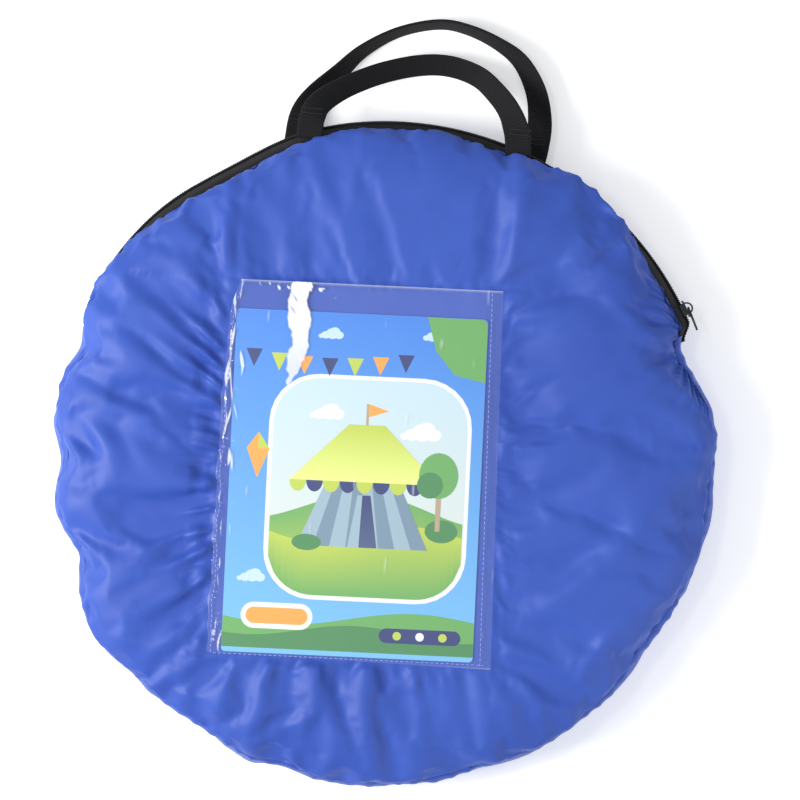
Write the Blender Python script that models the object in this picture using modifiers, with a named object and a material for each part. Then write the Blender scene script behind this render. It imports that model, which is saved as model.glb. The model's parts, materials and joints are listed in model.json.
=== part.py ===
# Kids play tent, packed flat in its round zipped carry bag.
#
# The bag lies on its back on the plane z = 0, with its centre over the origin.
# +Y points towards the handles, +X to the right as the bag is seen from above.
# All sizes are in metres.
import math

import bmesh
import bpy
from mathutils import Matrix, Vector

MM = 0.001
FULL_TURN = 2 * math.pi

# Clearances
CLEARANCE = 0.3 * MM          # between two pieces that touch
OVERRUN = 4 * MM              # how far a cutter runs past what it cuts
WELD_DISTANCE = 0.02 * MM     # points nearer than this become one
BAR_RESOLUTION = 1            # extra flats round a bar or wire

# Bag
SEAM_RADIUS = 199.2 * MM      # where the panels are sewn to the side
BACK_SEAM_HEIGHT = 14 * MM
FRONT_SEAM_HEIGHT = 36 * MM
BAG_HEIGHT = 50 * MM          # top of the flat middle of the front panel
CLOTH_THICKNESS = 1.0 * MM
BACK_SHOULDER_WIDTH = 49.2 * MM   # from the flat middle out to the seam
FRONT_SHOULDER_WIDTH = 41.2 * MM
PANEL_STEPS = 72              # flats round a panel
SHOULDER_STEPS = 5            # flats across a panel's rounded shoulder

# Mouth of the bag: the zip, the flap and the handles are turned with it
MOUTH_TURN = math.radians(-6)
ZIP_RIGHT_END = math.radians(20.5)
ZIP_LEFT_END = math.radians(152)
ARC_STEP = math.radians(3)
FLAP_HALF_ARC = math.radians(53.7)

# Zip
TAPE_THICKNESS = 0.5 * MM
RIM_BULGE = 4.1 * MM           # how far the zip stands out past the seams
TAPE_EDGE_OFFSET = 0.95 * MM   # tape edge from the zip's middle line
TAPE_FLAT_OFFSET = 5.5 * MM    # where the tape turns towards the seam
COIL_RADIUS = 1.15 * MM
COIL_OFFSET = 2.2 * MM
SLIDER_LENGTH = 11 * MM
SLIDER_NOSE_WIDTH = 9.2 * MM
SLIDER_TAIL_WIDTH = 8.9 * MM
SLIDER_PLATE = 0.9 * MM
SLIDER_CHAMFER = 1.84 * MM
SLIDER_LIP = 0.7 * MM
SLIDER_LIP_INSET = 0.07 * MM   # lip from the edge of its plate
SLIDER_COIL_GAP = 0.5 * MM
SLIDER_ANGLE = math.radians(25.7)
POST_WIDTH = 0.9 * MM
POST_NOSE_WIDTH = 0.6 * MM
POST_LENGTH = 3.5 * MM
POST_SHOULDER = 1.17 * MM      # from the nose back to the widest place
BRIDGE_LENGTH = 8 * MM
BRIDGE_RISE = 4.2 * MM
BRIDGE_WIDTH = 1.6 * MM
BRIDGE_THICKNESS = 1.0 * MM
BRIDGE_STEPS = 8
TAB_LENGTH = 15 * MM
TAB_WIDTH = 5.4 * MM
TAB_TIP_WIDTH = 3.6 * MM
TAB_END_WIDTH = 1.8 * MM
TAB_THICKNESS = 1.2 * MM
TAB_BAR = 1.0 * MM             # bar of the tab that lies under the bridge
TAB_EYE_LENGTH = 5.6 * MM
TAB_ARM_WIDTH = 1.3 * MM
TAB_LEAN = math.radians(4)

# Webbing handles
WEBBING_WIDTH = 16 * MM
WEBBING_THICKNESS = 1.5 * MM
HANDLE_ROOT_GAP = 0.9 * MM     # root of the webbing outside the seam
FRONT_HANDLE_HALF_SPAN = 65.75 * MM
FRONT_HANDLE_REACH = 52 * MM
FRONT_HANDLE_ROOT_HEIGHT = 36.75 * MM
FRONT_HANDLE_TOP_HEIGHT = 6.6 * MM
REAR_HANDLE_HALF_SPAN = 71.5 * MM
REAR_HANDLE_REACH = 81 * MM
REAR_HANDLE_ROOT_HEIGHT = 13.0 * MM
REAR_HANDLE_TOP_HEIGHT = 8.4 * MM
HANDLE_STATIONS = 26
ROUTE_STEPS = 8                # steps of a smooth curve between two given points

# Across the half span, out along the reach, down from root to top, and how far
# the webbing has turned from lying flat, as a share of a quarter turn.
FRONT_HANDLE_SHARES = (
    (-1.00, 0.00, 0.00, 0.00),
    (-0.99, 0.20, 0.02, 0.06),
    (-0.92, 0.38, 0.12, 0.30),
    (-0.71, 0.60, 0.42, 0.44),
    (-0.40, 0.82, 0.78, 0.46),
    (-0.05, 0.97, 0.97, 0.46),
    (0.24, 1.00, 1.00, 0.46),
    (0.51, 0.91, 0.90, 0.46),
    (0.70, 0.72, 0.62, 0.44),
    (0.84, 0.50, 0.28, 0.36),
    (0.93, 0.24, 0.04, 0.12),
    (0.96, 0.00, 0.00, 0.00),
)
REAR_HANDLE_SHARES = (
    (-1.03, 0.00, 0.00, 0.00),
    (-1.01, 0.18, 0.25, 0.10),
    (-0.92, 0.34, 0.55, 0.35),
    (-0.73, 0.54, 0.80, 0.55),
    (-0.54, 0.73, 0.93, 0.70),
    (-0.25, 0.90, 1.00, 0.78),
    (0.09, 0.99, 1.00, 0.78),
    (0.36, 0.97, 1.00, 0.78),
    (0.64, 0.88, 1.00, 0.72),
    (0.84, 0.76, 0.93, 0.62),
    (0.99, 0.55, 0.80, 0.45),
    (1.05, 0.32, 0.50, 0.28),
    (1.04, 0.13, 0.20, 0.08),
    (1.02, 0.00, 0.00, 0.00),
)

# Document pocket and its card
POCKET_TURN = math.radians(-2.7)
POCKET_CENTRE = (-16.0 * MM, -11.9 * MM)
POCKET_HEIGHT = 232 * MM
POCKET_TOP_WIDTH = 171 * MM
POCKET_BOTTOM_WIDTH = 177 * MM
POCKET_FILM = 0.4 * MM
CARD_WIDTH = 154 * MM
CARD_HEIGHT = 210 * MM
CARD_THICKNESS = 0.5 * MM
CARD_SIDE_PLAY = 1.5 * MM
CARD_OFFSET = -1.2 * MM        # card's middle from the pocket's middle
POCKET_BOTTOM_HEM = 4 * MM

# Hoops of spring steel, coiled in three loops
HOOP_INSET = 32.51 * MM        # coiled hoop inside the seam: 3142 mm of wire a hoop
HOOP_LOOPS = 3
HOOP_POINTS_PER_LOOP = 24
HOOP_WIRE_RADIUS = 1.5 * MM
HOOP_SPREAD = 2.8 * MM         # how far the loops lie from their middle line
HOOP_MIN_GAP = 0.4 * MM
FERRULE_LENGTH = 18 * MM
FERRULE_WALL = 0.8 * MM
FERRULE_SIDES = 12

# Fibreglass poles, each folded in five rods
POLE_COUNT = 4
RODS_PER_POLE = 5
POLES_PER_LAYER = 2
ROD_END_ROOM = 12.9 * MM       # from a rod's end to the cloth's edge: rods of 295 mm
ROD_RADIUS = 2.75 * MM
SOCKET_WALL = 0.7 * MM
SOCKET_LENGTH = 50 * MM
SOCKET_DEPTH = 24 * MM
ROD_SIDES = 10

# Folded cloth
LEDGE_WIDTH = 15 * MM          # how far the cloth reaches under the hoops
FOLD_SWELL = 1.5 * MM          # how far the folds bulge at the cloth's edge
FOLD_LAYERS = 3
FOLD_STEPS = 48


def material(name, colour, roughness, metallic=0.0, alpha=1.0):
    """A plain Principled material."""
    found = bpy.data.materials.get(name)
    if found:
        return found
    new = bpy.data.materials.new(name)
    new.use_nodes = True
    shader = new.node_tree.nodes["Principled BSDF"]
    shader.inputs["Base Color"].default_value = (*colour, 1.0)
    shader.inputs["Roughness"].default_value = roughness
    shader.inputs["Metallic"].default_value = metallic
    shader.inputs["Alpha"].default_value = alpha
    return new


def blue_nylon():
    return material("blue_nylon", (0.06, 0.12, 0.62), 0.55)


def black_tape():
    return material("black_tape", (0.012, 0.012, 0.014), 0.8)


def black_coil():
    return material("black_coil", (0.015, 0.015, 0.017), 0.35)


def black_webbing():
    return material("black_webbing", (0.015, 0.015, 0.018), 0.75)


def black_metal():
    return material("black_metal", (0.02, 0.02, 0.022), 0.35, metallic=0.6)


def clear_film():
    return material("clear_film", (0.85, 0.9, 1.0), 0.12, alpha=0.25)


def printed_card():
    return material("printed_card", (0.25, 0.55, 0.95), 0.4)


def spring_steel():
    return material("spring_steel", (0.55, 0.56, 0.58), 0.3, metallic=1.0)


def wall_cloth():
    return material("wall_cloth", (0.33, 0.45, 0.55), 0.8)


def roof_cloth():
    return material("roof_cloth", (0.72, 0.8, 0.12), 0.8)


def fibreglass():
    return material("fibreglass", (0.82, 0.82, 0.76), 0.35)


def collection(name):
    """The named collection, made if it isn't there."""
    found = bpy.data.collections.get(name)
    if found is None:
        found = bpy.data.collections.new(name)
        bpy.context.scene.collection.children.link(found)
    return found


def add_object(name, data, finish):
    """A part of the tent, linked and given its finish."""
    part = bpy.data.objects.new(name, data)
    collection("packed_play_tent").objects.link(part)
    data.materials.append(finish)
    return part


def as_cutter(body):
    """Mark an object as a tool that cuts others."""
    body.hide_render = True
    body.display_type = "WIRE"
    return body


def mesh_from(shape, name):
    """A mesh data block from a bmesh, which is freed."""
    data = bpy.data.meshes.new(name)
    shape.to_mesh(data)
    shape.free()
    return data


def box_mesh(name, size):
    """A box of the given size round its own middle."""
    shape = bmesh.new()
    bmesh.ops.create_cube(shape, size=1)
    bmesh.ops.scale(shape, vec=Vector(size), verts=shape.verts)
    return mesh_from(shape, name)


def add_cutter(name, size, place, turn=0.0):
    """A box that cuts, turned about the vertical and set in its place."""
    data = box_mesh(name, size)
    body = bpy.data.objects.new(name, data)
    collection("cutters").objects.link(body)
    body.location = place
    body.rotation_euler.z = turn
    return as_cutter(body)


def cut(part, cutter, operation="DIFFERENCE"):
    """Cut a part with an exact Boolean that stays on it."""
    step = part.modifiers.new(cutter.name, "BOOLEAN")
    step.operation = operation
    step.solver = "EXACT"
    step.object = cutter
    return step


def from_mouth(across, out, height):
    """A point of the mouth's own frame, in the world."""
    return Matrix.Rotation(MOUTH_TURN, 4, "Z") @ Vector((across, out, height))


def turned_solid(name, outline, steps, finish, smooth=True):
    """A closed solid turned about Z. The outline runs from top to bottom."""
    data = bpy.data.meshes.new(name)
    points = [(radius, 0.0, height) for radius, height in outline]
    data.from_pydata(points, [(i, i + 1) for i in range(len(points) - 1)], [])
    part = add_object(name, data, finish)
    screw = part.modifiers.new("turn", "SCREW")
    screw.angle = FULL_TURN
    screw.steps = steps
    screw.render_steps = steps
    screw.use_merge_vertices = True
    screw.merge_threshold = WELD_DISTANCE
    screw.use_smooth_shade = smooth
    return part


def arc_points(radius, start, end, height, step=ARC_STEP):
    """Points round an arc about Z, in even steps no longer than step."""
    count = max(2, math.ceil((end - start) / step) + 1)
    angles = [start + (end - start) * i / (count - 1) for i in range(count)]
    return [(radius * math.cos(a), radius * math.sin(a), height) for a in angles]


def poly_curve(name, points, cyclic=False):
    """A 3D curve of straight runs through the points."""
    data = bpy.data.curves.new(name, "CURVE")
    data.dimensions = "3D"
    data.twist_mode = "Z_UP"
    data.use_fill_caps = not cyclic
    run = data.splines.new("POLY")
    run.points.add(len(points) - 1)
    for point, place in zip(run.points, points):
        point.co = (*place, 1.0)
    run.use_cyclic_u = cyclic
    return data


def outline_guide(name, outline):
    """A closed flat outline that a curve is swept with."""
    data = bpy.data.curves.new(name, "CURVE")
    data.dimensions = "2D"
    run = data.splines.new("POLY")
    run.points.add(len(outline) - 1)
    for point, (across, up) in zip(run.points, outline):
        point.co = (across, up, 0.0, 1.0)
    run.use_cyclic_u = True
    guide = bpy.data.objects.new(name, data)
    collection("cutters").objects.link(guide)
    return as_cutter(guide)


def swept_arc(name, outline, start, end, finish):
    """Sweep a closed outline of radii and heights round an arc about Z."""
    base = rim_radius()
    guide = outline_guide(name + "_outline", [(r - base, z) for r, z in outline])
    data = poly_curve(name, arc_points(base, start, end, 0.0))
    data.bevel_mode = "OBJECT"
    data.bevel_object = guide
    return add_object(name, mesh_of_curve(data, Matrix.Identity(4)), finish)


def round_arc(name, radius, height, thickness, start, end, finish):
    """A round bar bent round an arc about Z."""
    data = poly_curve(name, arc_points(radius, start, end, height))
    data.bevel_depth = thickness
    data.bevel_resolution = BAR_RESOLUTION
    return add_object(name, data, finish)


def flat_curve(name, outline, thickness):
    """A flat outline with straight sides, thickened both ways from its plane."""
    data = bpy.data.curves.new(name, "CURVE")
    data.dimensions = "2D"
    data.fill_mode = "BOTH"
    data.extrude = thickness / 2
    run = data.splines.new("POLY")
    run.points.add(len(outline) - 1)
    for point, (across, up) in zip(run.points, outline):
        point.co = (across, up, 0.0, 1.0)
    run.use_cyclic_u = True
    return data


def mesh_of_curve(data, placing):
    """The closed mesh of a curve, its caps welded, moved by a matrix."""
    holder = bpy.data.objects.new(data.name, data)
    bpy.context.scene.collection.objects.link(holder)
    bpy.context.view_layer.update()
    depsgraph = bpy.context.evaluated_depsgraph_get()
    mesh = bpy.data.meshes.new_from_object(holder.evaluated_get(depsgraph))
    bpy.data.objects.remove(holder)
    shape = bmesh.new()
    shape.from_mesh(mesh)
    bmesh.ops.remove_doubles(shape, verts=shape.verts, dist=WELD_DISTANCE)
    bmesh.ops.transform(shape, matrix=placing, verts=shape.verts)
    bmesh.ops.recalc_face_normals(shape, faces=shape.faces)
    shape.to_mesh(mesh)
    shape.free()
    return mesh


def rim_radius():
    """Inner face of the tapes, where they stand upright at the rim."""
    return SEAM_RADIUS + RIM_BULGE


def back_flat_radius():
    return SEAM_RADIUS - BACK_SHOULDER_WIDTH


def front_flat_radius():
    return SEAM_RADIUS - FRONT_SHOULDER_WIDTH


def fold_distance():
    """How far out the flap's straight fold lies on the mouth's axis."""
    return SEAM_RADIUS * math.cos(FLAP_HALF_ARC)


def zip_middle_height():
    return (BACK_SEAM_HEIGHT + FRONT_SEAM_HEIGHT) / 2


def coil_path_radius():
    return rim_radius() + TAPE_THICKNESS + CLEARANCE + COIL_RADIUS


def front_panel_height(radius):
    """Height of the front panel's outer face at a radius."""
    if radius <= front_flat_radius():
        return BAG_HEIGHT
    share = min(1.0, (radius - front_flat_radius()) / (SEAM_RADIUS - front_flat_radius()))
    return FRONT_SEAM_HEIGHT + (BAG_HEIGHT - FRONT_SEAM_HEIGHT) * math.sqrt(1 - share ** 2)


def back_panel_height(radius):
    """Height of the back panel's outer face at a radius."""
    if radius <= back_flat_radius():
        return 0.0
    share = min(1.0, (radius - back_flat_radius()) / (SEAM_RADIUS - back_flat_radius()))
    return BACK_SEAM_HEIGHT * (1 - math.sqrt(1 - share ** 2))


def shoulder(flat_radius, edge_radius, flat_height, edge_height):
    """A quarter of an ellipse, from the flat middle out to the seam."""
    places = []
    for i in range(SHOULDER_STEPS + 1):
        turn = math.pi / 2 * i / SHOULDER_STEPS
        radius = flat_radius + (edge_radius - flat_radius) * math.sin(turn)
        height = edge_height + (flat_height - edge_height) * math.cos(turn)
        places.append((radius, height))
    return places


def front_panel_outline():
    """Half section of the front panel, outer face first, from the axis out."""
    outer = shoulder(front_flat_radius(), SEAM_RADIUS, BAG_HEIGHT, FRONT_SEAM_HEIGHT)
    inner = shoulder(
        front_flat_radius(),
        SEAM_RADIUS - CLOTH_THICKNESS,
        BAG_HEIGHT - CLOTH_THICKNESS,
        FRONT_SEAM_HEIGHT,
    )
    return [(0.0, BAG_HEIGHT)] + outer + inner[::-1] + [(0.0, BAG_HEIGHT - CLOTH_THICKNESS)]


def back_panel_outline():
    """Half section of the back panel, inner face first, from the axis out."""
    inner = shoulder(
        back_flat_radius(),
        SEAM_RADIUS - CLOTH_THICKNESS,
        CLOTH_THICKNESS,
        BACK_SEAM_HEIGHT,
    )
    outer = shoulder(back_flat_radius(), SEAM_RADIUS, 0.0, BACK_SEAM_HEIGHT)
    return [(0.0, CLOTH_THICKNESS)] + inner + outer[::-1] + [(0.0, 0.0)]


def make_panels():
    """Back panel, and the front panel split at the fold of its flap."""
    turned_solid("back_panel", back_panel_outline(), PANEL_STEPS, blue_nylon())
    width = 2 * SEAM_RADIUS + 2 * OVERRUN
    depth = SEAM_RADIUS + OVERRUN
    height = 2 * BAG_HEIGHT
    fold = fold_distance()
    beyond = add_cutter(
        "beyond_fold",
        (width, depth, height),
        from_mouth(0.0, fold + depth / 2, BAG_HEIGHT / 2),
        MOUTH_TURN,
    )
    before = add_cutter(
        "before_fold",
        (width, depth + fold, height),
        from_mouth(0.0, fold + CLEARANCE - (depth + fold) / 2, BAG_HEIGHT / 2),
        MOUTH_TURN,
    )
    front = turned_solid("front_panel", front_panel_outline(), PANEL_STEPS, blue_nylon())
    cut(front, beyond)
    flap = turned_solid("front_flap", front_panel_outline(), PANEL_STEPS, blue_nylon())
    cut(flap, before)


def flap_arc():
    """Angles where the flap's fold line meets the seam, right and left."""
    middle = math.pi / 2 + MOUTH_TURN
    return middle - FLAP_HALF_ARC, middle + FLAP_HALF_ARC


def make_gusset():
    """The side of the bag where there is no zip, seam to seam."""
    middle = zip_middle_height()
    top = FRONT_SEAM_HEIGHT - CLEARANCE
    bottom = BACK_SEAM_HEIGHT + CLEARANCE
    bulge = rim_radius() + CLOTH_THICKNESS
    outer = [
        (SEAM_RADIUS, top),
        (bulge, middle + TAPE_FLAT_OFFSET),
        (bulge, middle - TAPE_FLAT_OFFSET),
        (SEAM_RADIUS, bottom),
    ]
    inner = [(radius - CLOTH_THICKNESS, height) for radius, height in outer[::-1]]
    play = CLEARANCE / SEAM_RADIUS
    swept_arc(
        "side_gusset",
        outer + inner,
        ZIP_LEFT_END + play,
        ZIP_RIGHT_END - play + FULL_TURN,
        blue_nylon(),
    )


def tape_outline(side):
    """Section of one zip tape: side is 1 for the front tape, -1 for the rear."""
    middle = zip_middle_height()
    seam = FRONT_SEAM_HEIGHT - CLEARANCE if side > 0 else BACK_SEAM_HEIGHT + CLEARANCE
    outer = [
        (rim_radius() + TAPE_THICKNESS, middle + side * TAPE_EDGE_OFFSET),
        (rim_radius() + TAPE_THICKNESS, middle + side * TAPE_FLAT_OFFSET),
        (SEAM_RADIUS, seam),
    ]
    inner = [(radius - TAPE_THICKNESS, height) for radius, height in outer[::-1]]
    return outer + inner


def make_zip():
    """Tapes and coils. The front ones are split where the flap begins and ends."""
    right, left = flap_arc()
    play = CLEARANCE / rim_radius()
    stretches = (
        ("right", ZIP_RIGHT_END, right),
        ("flap", right + play, left - play),
        ("left", left, ZIP_LEFT_END),
    )
    middle = zip_middle_height()
    radius = coil_path_radius()
    for place, start, end in stretches:
        swept_arc("front_zip_tape_" + place, tape_outline(1), start, end, black_tape())
        round_arc(
            "front_zip_coil_" + place,
            radius,
            middle + COIL_OFFSET,
            COIL_RADIUS,
            start,
            end,
            black_coil(),
        )
    swept_arc("rear_zip_tape", tape_outline(-1), ZIP_RIGHT_END, ZIP_LEFT_END, black_tape())
    round_arc(
        "rear_zip_coil",
        radius,
        middle - COIL_OFFSET,
        COIL_RADIUS,
        ZIP_RIGHT_END,
        ZIP_LEFT_END,
        black_coil(),
    )


def slider_frame():
    """Place of the slider: X along the zip, Y out of the bag, Z up."""
    turn = Matrix.Rotation(SLIDER_ANGLE - math.pi / 2, 4, "Z")
    return turn @ Matrix.Translation((0.0, 0.0, zip_middle_height()))


def slider_radii():
    """Inner plate's inner face, inner and outer mouth, outer plate's outer face."""
    mouth_in = rim_radius() - 2 * CLEARANCE
    mouth_out = coil_path_radius() + COIL_RADIUS + SLIDER_COIL_GAP
    return mouth_in - SLIDER_PLATE, mouth_in, mouth_out, mouth_out + SLIDER_PLATE


def plate_outline(half_length, nose, tail):
    """Outline of a slider plate, its nose at +X, with cut corners."""
    chamfer = SLIDER_CHAMFER
    return [
        (-half_length, -tail / 2 + chamfer / 2),
        (-half_length + chamfer / 2, -tail / 2),
        (half_length - chamfer, -nose / 2),
        (half_length, -nose / 2 + chamfer),
        (half_length, nose / 2 - chamfer),
        (half_length - chamfer, nose / 2),
        (-half_length + chamfer / 2, tail / 2),
        (-half_length, tail / 2 - chamfer / 2),
    ]


def upright(across, out, up=0.0):
    """Lay a flat outline's plane on X and Z, with its thickness along Y."""
    return Matrix.Translation((across, out, up)) @ Matrix.Rotation(math.pi / 2, 4, "X")


def joined(name, meshes, finish):
    """Union of closed meshes, as one object with the union applied."""
    first = bpy.data.objects.new(name, meshes[0])
    collection("packed_play_tent").objects.link(first)
    others = []
    for i, mesh in enumerate(meshes[1:]):
        other = bpy.data.objects.new("%s_piece_%d" % (name, i), mesh)
        collection("cutters").objects.link(as_cutter(other))
        cut(first, other, "UNION")
        others.append(other)
    bpy.context.view_layer.update()
    depsgraph = bpy.context.evaluated_depsgraph_get()
    whole = bpy.data.meshes.new_from_object(first.evaluated_get(depsgraph))
    for body in [first] + others:
        bpy.data.objects.remove(body)
    whole.name = name
    whole.materials.clear()
    return add_object(name, whole, finish)


def bridge_outline():
    """The slider's bridge seen from the side: an arch with a finger of wall."""
    half = BRIDGE_LENGTH / 2
    foot = SLIDER_PLATE / 2
    rise = BRIDGE_RISE
    outer = []
    inner = []
    for i in range(BRIDGE_STEPS + 1):
        turn = math.pi * i / BRIDGE_STEPS
        outer.append((half * math.cos(turn), rise * math.sin(turn)))
        inner.append((
            (half - BRIDGE_THICKNESS) * math.cos(turn),
            (rise - BRIDGE_THICKNESS) * math.sin(turn),
        ))
    start = [(half, -foot)]
    end = [(-half, -foot), (-half + BRIDGE_THICKNESS, -foot)]
    return start + outer + end + inner[::-1] + [(half - BRIDGE_THICKNESS, -foot)]


def make_slider():
    """Two lipped plates held apart by a post, with a bridge for the tab."""
    frame = slider_frame()
    plate_in, mouth_in, mouth_out, plate_out = slider_radii()
    half = SLIDER_LENGTH / 2
    plate = plate_outline(half, SLIDER_NOSE_WIDTH, SLIDER_TAIL_WIDTH)
    meshes = []
    for low, high in ((plate_in, mouth_in), (mouth_out, plate_out)):
        flat = flat_curve("slider_plate", plate, high - low)
        meshes.append(mesh_of_curve(flat, frame @ upright(0.0, (low + high) / 2)))
    lip_low = rim_radius() + TAPE_THICKNESS + CLEARANCE
    lip_high = mouth_out + SLIDER_PLATE / 2
    lip_half = half - SLIDER_CHAMFER
    for side in (-1, 1):
        lip = flat_curve("slider_lip", [
            (-lip_half, side * (SLIDER_TAIL_WIDTH / 2 - SLIDER_LIP)),
            (lip_half, side * (SLIDER_TAIL_WIDTH / 2 - SLIDER_LIP)),
            (lip_half, side * (SLIDER_TAIL_WIDTH / 2 - SLIDER_LIP_INSET)),
            (-lip_half, side * (SLIDER_TAIL_WIDTH / 2 - SLIDER_LIP_INSET)),
        ], lip_high - lip_low)
        meshes.append(mesh_of_curve(lip, frame @ upright(0.0, (lip_low + lip_high) / 2)))
    post_low = mouth_in - SLIDER_PLATE / 2
    post_high = mouth_out + SLIDER_PLATE / 2
    tip = half - SLIDER_CHAMFER
    post = flat_curve("slider_post", [
        (tip - POST_LENGTH, 0.0),
        (tip - POST_SHOULDER, -POST_WIDTH / 2),
        (tip, -POST_NOSE_WIDTH / 2),
        (tip, POST_NOSE_WIDTH / 2),
        (tip - POST_SHOULDER, POST_WIDTH / 2),
    ], post_high - post_low)
    meshes.append(mesh_of_curve(post, frame @ upright(0.0, (post_low + post_high) / 2)))
    bridge = flat_curve("slider_bridge", bridge_outline(), BRIDGE_WIDTH)
    meshes.append(mesh_of_curve(bridge, frame @ Matrix.Translation((0.0, plate_out, 0.0))))
    joined("zip_slider", meshes, black_metal())


def tab_pivot():
    """Where the tab's bar lies under the bridge, in the slider's frame."""
    plate_out = slider_radii()[3]
    return Vector((0.0, plate_out + CLEARANCE * 2 + TAB_THICKNESS / 2, 0.0))


def make_tab():
    """The pull tab: a bar under the bridge, two arms round it, and a grip."""
    frame = slider_frame() @ Matrix.Translation(tab_pivot())
    lean = Matrix.Rotation(-TAB_LEAN, 4, "Z")
    eye_start = TAB_BAR / 2
    eye_end = eye_start + TAB_EYE_LENGTH
    grip = flat_curve("tab_grip", [
        (-TAB_BAR / 2, -TAB_WIDTH / 2),
        (eye_end, -TAB_WIDTH / 2),
        (TAB_LENGTH - TAB_BAR, -TAB_TIP_WIDTH / 2),
        (TAB_LENGTH, -TAB_END_WIDTH / 2),
        (TAB_LENGTH, TAB_END_WIDTH / 2),
        (TAB_LENGTH - TAB_BAR, TAB_TIP_WIDTH / 2),
        (eye_end, TAB_WIDTH / 2),
        (-TAB_BAR / 2, TAB_WIDTH / 2),
    ], TAB_THICKNESS)
    data = mesh_of_curve(grip, frame @ lean @ upright(0.0, 0.0))
    tab = add_object("pull_tab", data, black_metal())
    eye = box_mesh("tab_eye", (TAB_EYE_LENGTH, 2 * OVERRUN, TAB_WIDTH - 2 * TAB_ARM_WIDTH))
    cutter = bpy.data.objects.new("tab_eye", eye)
    collection("cutters").objects.link(as_cutter(cutter))
    cutter.matrix_world = frame @ lean @ Matrix.Translation(((eye_start + eye_end) / 2, 0.0, 0.0))
    cut(tab, cutter)


def smooth_route(points, count):
    """Points evenly spaced along a smooth curve through the given ones."""
    dense = []
    last = len(points) - 1
    for i in range(last):
        before = points[max(i - 1, 0)]
        start = points[i]
        end = points[i + 1]
        after = points[min(i + 2, last)]
        for j in range(ROUTE_STEPS):
            t = j / ROUTE_STEPS
            dense.append(tuple(
                0.5 * (2 * b + (c - a) * t + (2 * a - 5 * b + 4 * c - d) * t * t
                       + (3 * b - a - 3 * c + d) * t * t * t)
                for a, b, c, d in zip(before, start, end, after)
            ))
    dense.append(tuple(points[last]))
    lengths = [0.0]
    for a, b in zip(dense, dense[1:]):
        lengths.append(lengths[-1] + math.dist(a[:3], b[:3]))
    route = []
    k = 0
    for i in range(count):
        want = lengths[-1] * i / (count - 1)
        while k < len(lengths) - 2 and lengths[k + 1] < want:
            k += 1
        part = (want - lengths[k]) / (lengths[k + 1] - lengths[k])
        route.append(tuple(a + (b - a) * part for a, b in zip(dense[k], dense[k + 1])))
    return route


def handle_root_distance(shares, half_span):
    """How far out the roots' straight ends lie, just clear of the round seam."""
    inner_edge = min(abs(shares[0][0]), abs(shares[-1][0])) * half_span - WEBBING_WIDTH / 2
    return math.sqrt((SEAM_RADIUS + HANDLE_ROOT_GAP) ** 2 - inner_edge ** 2)


def make_handle(name, shares, half_span, reach, root_height, top_height):
    """A loop of flat webbing that leaves the seam flat and turns on edge."""
    root = handle_root_distance(shares, half_span)
    places = [
        (
            across * half_span,
            root + out * reach,
            root_height + down * (top_height - root_height),
            turn * math.pi / 2,
        )
        for across, out, down, turn in shares
    ]
    stations = smooth_route(places, HANDLE_STATIONS)
    shape = bmesh.new()
    rings = []
    for i, (x, y, z, turn) in enumerate(stations):
        before = Vector(stations[max(i - 1, 0)][:3])
        after = Vector(stations[min(i + 1, len(stations) - 1)][:3])
        along = (after - before).normalized()
        if i in (0, len(stations) - 1):
            along = Vector((0.0, math.copysign(1.0, along.y), 0.0))
        side = along.cross(Vector((0.0, 0.0, 1.0))).normalized()
        lift = side.cross(along)
        broad = side * math.cos(turn) - lift * math.sin(turn)
        thin = broad.cross(along)
        ring = []
        for u, v in ((-1, -1), (1, -1), (1, 1), (-1, 1)):
            place = Vector((x, y, z))
            place += broad * u * WEBBING_WIDTH / 2 + thin * v * WEBBING_THICKNESS / 2
            ring.append(shape.verts.new(from_mouth(*place)))
        rings.append(ring)
    for near, far in zip(rings, rings[1:]):
        for k in range(4):
            shape.faces.new((near[k], near[(k + 1) % 4], far[(k + 1) % 4], far[k]))
    shape.faces.new(rings[0][::-1])
    shape.faces.new(rings[-1])
    bmesh.ops.recalc_face_normals(shape, faces=shape.faces)
    return add_object(name, mesh_from(shape, name), black_webbing())


def make_handles():
    make_handle(
        "front_handle",
        FRONT_HANDLE_SHARES,
        FRONT_HANDLE_HALF_SPAN,
        FRONT_HANDLE_REACH,
        FRONT_HANDLE_ROOT_HEIGHT,
        FRONT_HANDLE_TOP_HEIGHT,
    )
    make_handle(
        "rear_handle",
        REAR_HANDLE_SHARES,
        REAR_HANDLE_HALF_SPAN,
        REAR_HANDLE_REACH,
        REAR_HANDLE_ROOT_HEIGHT,
        REAR_HANDLE_TOP_HEIGHT,
    )


def pocket_frame():
    """Place of the pocket: its middle, on the front panel's face."""
    move = Matrix.Translation((*POCKET_CENTRE, BAG_HEIGHT + CLEARANCE))
    return move @ Matrix.Rotation(POCKET_TURN, 4, "Z")


def card_bottom():
    """The card's lower edge, in the pocket's frame."""
    return -POCKET_HEIGHT / 2 + POCKET_BOTTOM_HEM + CLEARANCE


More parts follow.
